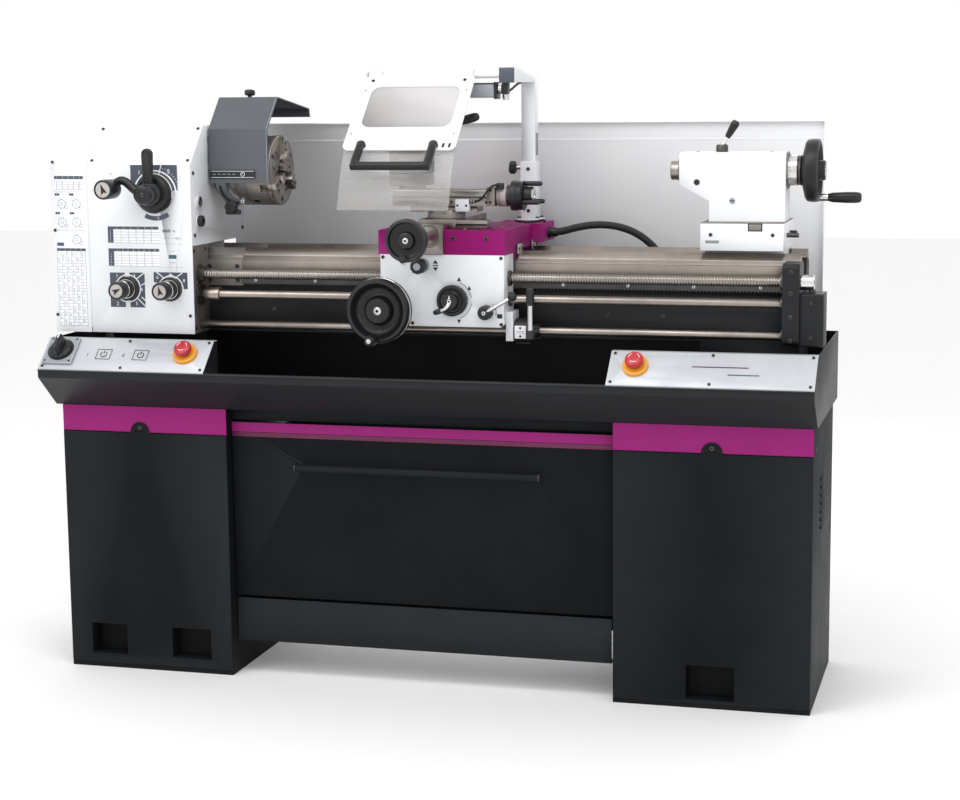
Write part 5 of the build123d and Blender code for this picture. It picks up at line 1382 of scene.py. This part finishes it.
# knob at the hinge's left end, hinge knuckle screws, frame screws
g.rev([(0, -160), (9, -160), (11, -157), (11, -150), (8, -148), (0, -148)], FX(-45, 1361), "label_grey", 36)
for u in (-140, 72):
    for dv in (-14,):
        g.screw(SH(u, -26, 9.2), SN, 4, "steel_dark", 1.8)
for u, v in ((-150, -60), (-150, -200), (83, -60), (83, -200)):
    g.screw(SH(u, v, 9.1), SN, 3.2, "chrome", 1.2)
# two slots at the lower right corner
# the slots are flat marks of painted shade
for du in (0, 14):
    g.prism(rrect(66 + du, -236, 5, 14, 2.3, 4), TSH(0, 0, 9.0), -0.1, 0.35, "hole", 0)
g.build()
cut_mats("shield_frame", [(lambda c, n: (c - SO).dot(SN) > 9.4 and (c - SO).dot(SE) < -225, "black")])
g = G("shield_arm_details", "carriage", "white_paint")
# cap on the arm's front, lamp under the arm, post sleeve, clamp knob, foot
g.box(147.5, 182.5, -63.5, -61.6, 1343.5, 1376.8, "slate", 1.0)
g.box(149.5, 180.5, -65.6, -63.2, 1345.5, 1375, "label", 1.0)
# lamp: a grey box beside the arm on a black and bright joint
g.box(72, 129, -40, 8, 1312, 1342, "label_grey", 2.5, 3)
g.box(70.5, 130.5, -41, 9, 1341, 1344, "black", 1)
g.box(76, 125, -36, 4, 1310.6, 1312.4, "label_white", 0.6)
g.box(128.5, 134, -36, 4, 1308, 1346, "black", 1.5)
g.rev([(0, 133.5), (10, 133.5), (12, 136), (12, 143), (9, 146), (0, 146)], FX(-16, 1331), ["black", "black", "chrome", "black", "black"], 36)
g.box(144, 158, -27, -5, 1318, 1346.5, "black", 3)
g.rev([(0, 0), (7, 0), (8, 3), (8, 12), (0, 12)], FZ(151, -16, 1306), "chrome", 28)
g.tube([(151, -10, 1322), (158, 10, 1330), (164, 40, 1341), (165, 70, 1344)], 2.6, "black", 10, 6)
g.box(145.5, 184.5, 130.5, 169.5, 1035, 1165, "white", 3)
for z in (1052, 1148):
    g.screw((165, 130.4, z), (0, -1, 0), 4.2, "steel_dark", 2)
T = frame_at((145.5, 150, 1150), (-1, 0, 0))
g.rev([(0, 0), (4.5, 0), (4.5, 14), (0, 14)], T, "chrome", 24)
g.rev([(0, 13), (9, 13), (16, 16), (16, 26), (12, 29), (0, 29.5)], T, "black", 60, lambda i, a, r: r * (1 - 0.16 * (0.5 - 0.5 * math.cos(a * 3))) if i in (2, 3, 4) else r)
g.rev([(0, 29), (4, 29), (4, 30.5), (0, 30.5)], T, "chrome", 20)
for x in (143, 187):
    for y in (130, 170):
        g.screw((x, y, 1035), (0, 0, 1), 5, "steel_dark", 3.4)
g.box(180.6, 182.2, 140, 160, 1180, 1230, "label_grey", 0.4)
# cable from the top slide to the wing, running along the saddle to a gland
g.tube([(160, 30, 1035), (178, 60, 1031), (196, 88, 1031), (206, 108, 1032), (208, 118, 1024)], 3.0, "black", 10, 6)
g.rev([(0, 0), (13, 0), (13, 6), (11, 8), (11, 20), (10, 21.5), (0, 21.5)], frame_at((214.4, 118, 1004), (1, 0, 0)), "black", 36, lambda i, a, r: r * (1 - 0.04 * (math.sin(a * 12) > 0)) if i in (3, 4) else r)
g.build()

# ------------------------------------------------------------------ tailstock
g = G("tailstock_details", "tailstock", "white_paint")
T = FY(583.5, 1116.5)
g.rev([(0, 41.8), (6.5, 41.8), (6.5, 43.6), (5, 44.6), (0, 44.6)], FY(583.5, 1126), "black", 32)
g.rev([(0, 43.6), (6, 43.6), (6, 45.4), (4.8, 46.2), (0, 46.2)], FY(661, 1086.5), "label_grey", 32)
g.prism([(-5, -0.8), (5, -0.8), (5, 0.8), (-5, 0.8)], FY(661, 1086.5, -46.0), -0.1, 0.35, "hole", 0)
# parting line between base and body, with its ground edge and key notch
g.box(599.6, 778.4, -93.6, 93.6, 1040.2, 1041.8, "cast", 0.3)
# the key notch is a dark box of painted shade with a cast block inside
g.box(702, 733, -94.0, -92.6, 1024, 1041, "hole", 0.5)
g.box(704, 731, -94.6, -93.0, 1026, 1039, "cast", 0.5)
g.screw((755, -93.1, 1016), (0, -1, 0), 4, "steel_dark", 1.8)
g.screw((622, -93.1, 1016), (0, -1, 0), 4, "steel_dark", 1.8)
g.rev([(0, 0), (7, 0), (7, 14), (5, 16), (0, 16)], frame_at((778, 30, 1012), (1, 0, 0)), "black", 6)
g.rev([(0, 0), (5, 0), (5, 26), (0, 26)], frame_at((778, -30, 1012), (1, 0, 0)), "steel_dark", 24)
# dial ring screws, front nose ring, top oiler
g.rev([(22, 544.5), (30, 544.5), (30, 541.5), (28.5, 540), (22, 540)], TT, "ground", 64, None, True)
g.rev([(33.4, 774.6), (40, 774.6), (40, 778), (33.4, 778)], TT, "cast", 64, None, True)
for k in range(3):
    a = pi / 2 + k * 2 * pi / 3
    g.screw((775.2, 38 * math.cos(a), 1150 + 38 * math.sin(a)), (1, 0, 0), 3, "steel_dark", 1.6)
for x in (580, 740):
    g.rev([(0, 0), (4, 0), (4, 1.2), (0, 2)], FZ(x, 0, 1190), "brass", 24)
# scale on the side of the base
g.box(611, 640, -94, -93, 998, 1004, "label_grey", 0.2)
for k in range(13):
    g.box(612 + 2.2 * k, 612.5 + 2.2 * k, -94.3, -93.8, 998.6, 1003.4 if k % 3 == 0 else 1001, "label_black", 0)
g.build()
g = G("quill_details", "quill_unit", "machined_steel")
g.rev([(11.6, 523), (11.6, 521.6), (20.0, 521.6), (21.2, 523), (21.2, 524), (20, 524)], TT, "ground", 56, None, True)
# quill bore in painted shade
g.rev([(0, 528), (11.5, 528), (11.5, 521.8), (11.2, 521.8), (10.4, 527.4), (0, 527.4)], TT, "hole", 36)
g.build()
g = G("quill_lock_detail", "quill_lock", "black_plastic")
g.rev([(0, 1190.4), (13, 1190.4), (13, 1203), (11, 1206), (0, 1206)], FZ(632, 0), "steel_dark", 36)
g.tube([(632, 0, 1200), (638, 0, 1212), (644, 0, 1223)], [5.5, 4.6, 4.4], "chrome", 16, 4)
T = frame_at((643, 0, 1221), (0.5, 0, 0.866))
g.rev([(0, 0), (5.6, 0), (7.2, 8), (9.2, 30), (9.2, 36), (6, 41), (0, 42)], T, "black", 36)
o = g.build()
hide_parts("quill_lock_lever")

# ------------------------------------------------------------------ conduit: a real NURBS line, corrugated tube, glands
ROUTE = [(0.215, 0.118, 1.004), (0.242, 0.118, 1.004), (0.276, 0.121, 1.014), (0.322, 0.127, 1.022), (0.370, 0.134, 1.019),
         (0.416, 0.142, 1.003), (0.454, 0.149, 0.973), (0.480, 0.153, 0.934), (0.495, 0.154, 0.890), (0.503, 0.152, 0.848)]
cu = bpy.data.curves.new("conduit_line", "CURVE")
cu.dimensions = "3D"
sp = cu.splines.new("NURBS")
sp.points.add(len(ROUTE) - 1)
for p, c in zip(sp.points, ROUTE):
    p.co = (*c, 1.0)
sp.order_u = 3
sp.use_endpoint_u = True
sp.resolution_u = 12
lo_ = bpy.data.objects.new("conduit_line", cu)
scene.collection.objects.link(lo_)
me_ = bpy.data.meshes.new_from_object(lo_)
LINE = [v.co.copy() for v in me_.vertices]
bpy.data.objects.remove(lo_)
bpy.data.meshes.remove(me_)


def resample(line, step):
    out, acc = [line[0]], 0.0
    for a, b in zip(line, line[1:]):
        d = (b - a).length
        t = step - acc
        while t <= d:
            out.append(a + (b - a) * (t / d))
            t += step
        acc = d - (t - step)
    if (out[-1] - line[-1]).length > step * 0.3:
        out.append(line[-1])
    return out


fine_line = resample(LINE, 0.00075)
g = G("conduit_tube", "carriage", "conduit_plastic")
radii = [(9.0 if (i % 4) in (0, 1) else 8.0) for i in range(len(fine_line))]
g.tube([p * 1000 for p in fine_line], radii, "conduit", 20, 1)
cond = g.build(20)
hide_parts("cable_conduit")
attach(cond, "carriage")
# gland and bracket that take the conduit's far end behind the bed
e_, e0 = LINE[-1] * 1000, LINE[-4] * 1000
g = G("conduit_gland", "carriage", "black_plastic")
T = frame_at(e_, (e_ - e0))
g.rev([(0, -14), (11.5, -14), (13, -12), (13, 2), (15, 3), (15, 12), (12, 13), (12, 22), (0, 22)], T, "black", 36, lambda i, a, r: r * (1 - 0.04 * (math.sin(a * 12) > 0)) if i in (2, 3) else r)
g.box(e_.x - 26, e_.x + 22, 132, 172, 796, 836, "tray", 2)
for x in (e_.x - 19, e_.x + 15):
    for z in (802, 829):
        g.screw((x, 172, z), (0, 1, 0), 3, "steel_dark", 1.4)
g.build()

# ------------------------------------------------------------------ cable helper, not called below, and a cable boot in the tray, seen past the carriage
def cable(name, pts, r):
    g = G(name, "machine")
    g.tube(pts, r, "rubber", 12, 8)
    return g


g = G("tray_cable_boots", "machine")
g.rev([(0, 0), (10, 0), (10, 9), (7, 16), (6, 22), (0, 22)], frame_at((478, 60, 624.5), (0, 0, 1)), "black", 28)
g.build()

# ------------------------------------------------------------------ tray, splash guard and back
g = G("tray_details", "machine", "charcoal_paint")
for x in (-860, -660, -330, 0, 330, 640, 855):
    g.screw((x, -258, 658.5), (0, -0.66, -0.75), 3.6, "steel_dark", 1.2) if False else None
# rolled lip on the tray's front edge
g.tube([(-876, -301.6, 711), (868, -301.6, 711)], 1.6, "tray", 10, 1)
g.build()
g = G("splash_details", "machine", "white_paint")
g.box(-602, 834, 231.2, 232.2, 1211.5, 1213, "white", 0.3)
g.tube([(-602.5, 221, 1253.2), (834, 221, 1253.2)], 1.3, "white", 8, 1)
for x in (-560, -200, 160, 500, 800):
    g.screw((x, 231.9, 765), (0, -1, 0), 5, "steel_dark", 2.2)
# stiffening ribs on the back
for x in (-420, -60, 300, 660):
    g.box(x - 9, x + 9, 234.6, 235.25, 790, 1200, "white", 0.2)
g.build()
# back of the headstock: motor cable box, terminal cover and vents
g = G("headstock_back", "machine", "white_paint")
g.box(-760, -600, 129.6, 134, 1010, 1180, "white", 1.5)
for x in (-750, -610):
    for z in (1020, 1170):
        g.screw((x, 134, z), (0, 1, 0), 4, "steel_dark", 2)
# vents drawn as dark strips of painted shade
for k in range(8):
    g.box(-735, -625, 133.8, 135.2, 1060 + 11 * k, 1065 + 11 * k, "hole", 0.5)
g.build()
# top of the headstock: gasket line and lid screws
g = G("headstock_lid", "machine", "white_paint")
g.box(-780, -548, -96, 118, 1253.9, 1254.6, "white", 0.3)
for x in (-770, -664, -558):
    for y in (-86, 108):
        g.screw((x, y, 1252.2), (0, 0, 1), 4.5, "steel_dark", 2.2)
g.build()
# end cover: seam line and a ring about the spindle's axis
g = G("end_cover_details", "end_cover", "white_paint")
g.box(-880.6, -879.6, -150, 90, 1000, 1002, "label_grey", 0.2)
g.rev([(30.2, -881.2), (36, -881.2), (36, -880.8), (30.2, -880.8)], FX(0, 1150), "steel_dark", 48, None, True)
# folded lip that closes the joint to the headstock
g.prism([(-190, 800), (-190, 1170.5), (-110.3, 1254), (-60, 1254), (-60, 1251.5), (-109, 1251.5), (-187.5, 1169), (-187.5, 800)], FX(0, 0), -792.6, -790.25, "white", 0.3)
# vent slits drawn as dark strips of painted shade
for k in range(7):
    g.box(-881.15, -880.8, -60, 60, 1010 - 16 * k, 1016 - 16 * k, "hole", 0.1)
g.build()
# drawer: bar handle ends; the lighter folded edges of drawer and treadle come from their material's edge colour, a
# painted highlight and partly wear
g = G("drawer_details", "drawer", "charcoal_paint")
for x in (-292, 268):
    g.rev([(0, 0), (9.4, 0), (9.4, 3), (7.5, 4.6), (0, 4.6)], frame_at((x, -214, 493), (1 if x > 0 else -1, 0, 0)), "black", 32)
g.build()
# motor: fins, fan cover and terminal box
g = G("motor_details", "machine", "slate_paint")
T = FX(0, 440)
for k in range(30):
    a = 2 * pi * k / 30
    c, s = math.cos(a), math.sin(a)
    g.obox((-640, 96 * c, 440 + 96 * s), (170, 9, 2.2), "slate", Matrix.Rotation(a, 3, "X"), 0.6)
g.rev([(0, -521), (92, -521), (88, -514), (30, -511), (0, -511)], T, "slate", 56)
# fan cover openings drawn as dark rings of painted shade
for r in (30, 48, 66):
    g.rev([(r, -513.5), (r + 6, -513.8), (r + 6, -511.5), (r, -511)], T, "hole", 56, None, True)
g.box(-690, -600, -40, 40, 530, 566, "slate", 4)
g.build()
# rod end bracket and limit box fixings
g = G("rod_end_details", "machine", "cast_iron")
for z in (800, 850, 900, 945):
    g.screw((804, -175.2, z), (0, -1, 0), 4.5, "steel_dark", 2.2)
for z in (806, 880):
    g.screw((846, -170.2, z), (0, -1, 0), 3.4, "steel_dark", 1.6)
g.rev([(0, 0), (7, 0), (7, 8), (0, 8)], frame_at((846, -150, 899), (0, 0, 1)), "black", 24)
for z, r in ((875, 9.6), (806, 9.6)):
    g.rev([(0, 816), (12, 816), (12, 820), (0, 820)], FX(-145, z), "steel_dark", 32) if False else None
    g.rev([(r + 0.6, 781), (r + 5, 781), (r + 5, 786.2), (r + 0.6, 786.2)], FX(-145, z), "steel_dark", 40, None, True)
g.rev([(11.8, 780), (18, 780), (18, 786.2), (11.8, 786.2)], FX(-145, 921), "steel_dark", 40, None, True)
g.build()
# feed gearbox's right face, where the rods come out
g = G("gearbox_details", "machine", "cast_iron")
for z, r in ((921, 11.8), (875, 17), (806, 10.4)):
    g.rev([(r, -540.2), (r + 9, -540.2), (r + 9, -537), (r + 7, -535.6), (r, -535.6)], FX(-145, z), "steel_dark", 44, None, True) if z > 810 else None
for y, z in ((-176, 975), (-110, 975), (-176, 800), (-110, 800)):
    g.screw((-540, y, z), (1, 0, 0), 4.5, "steel_dark", 2.2)
g.build()
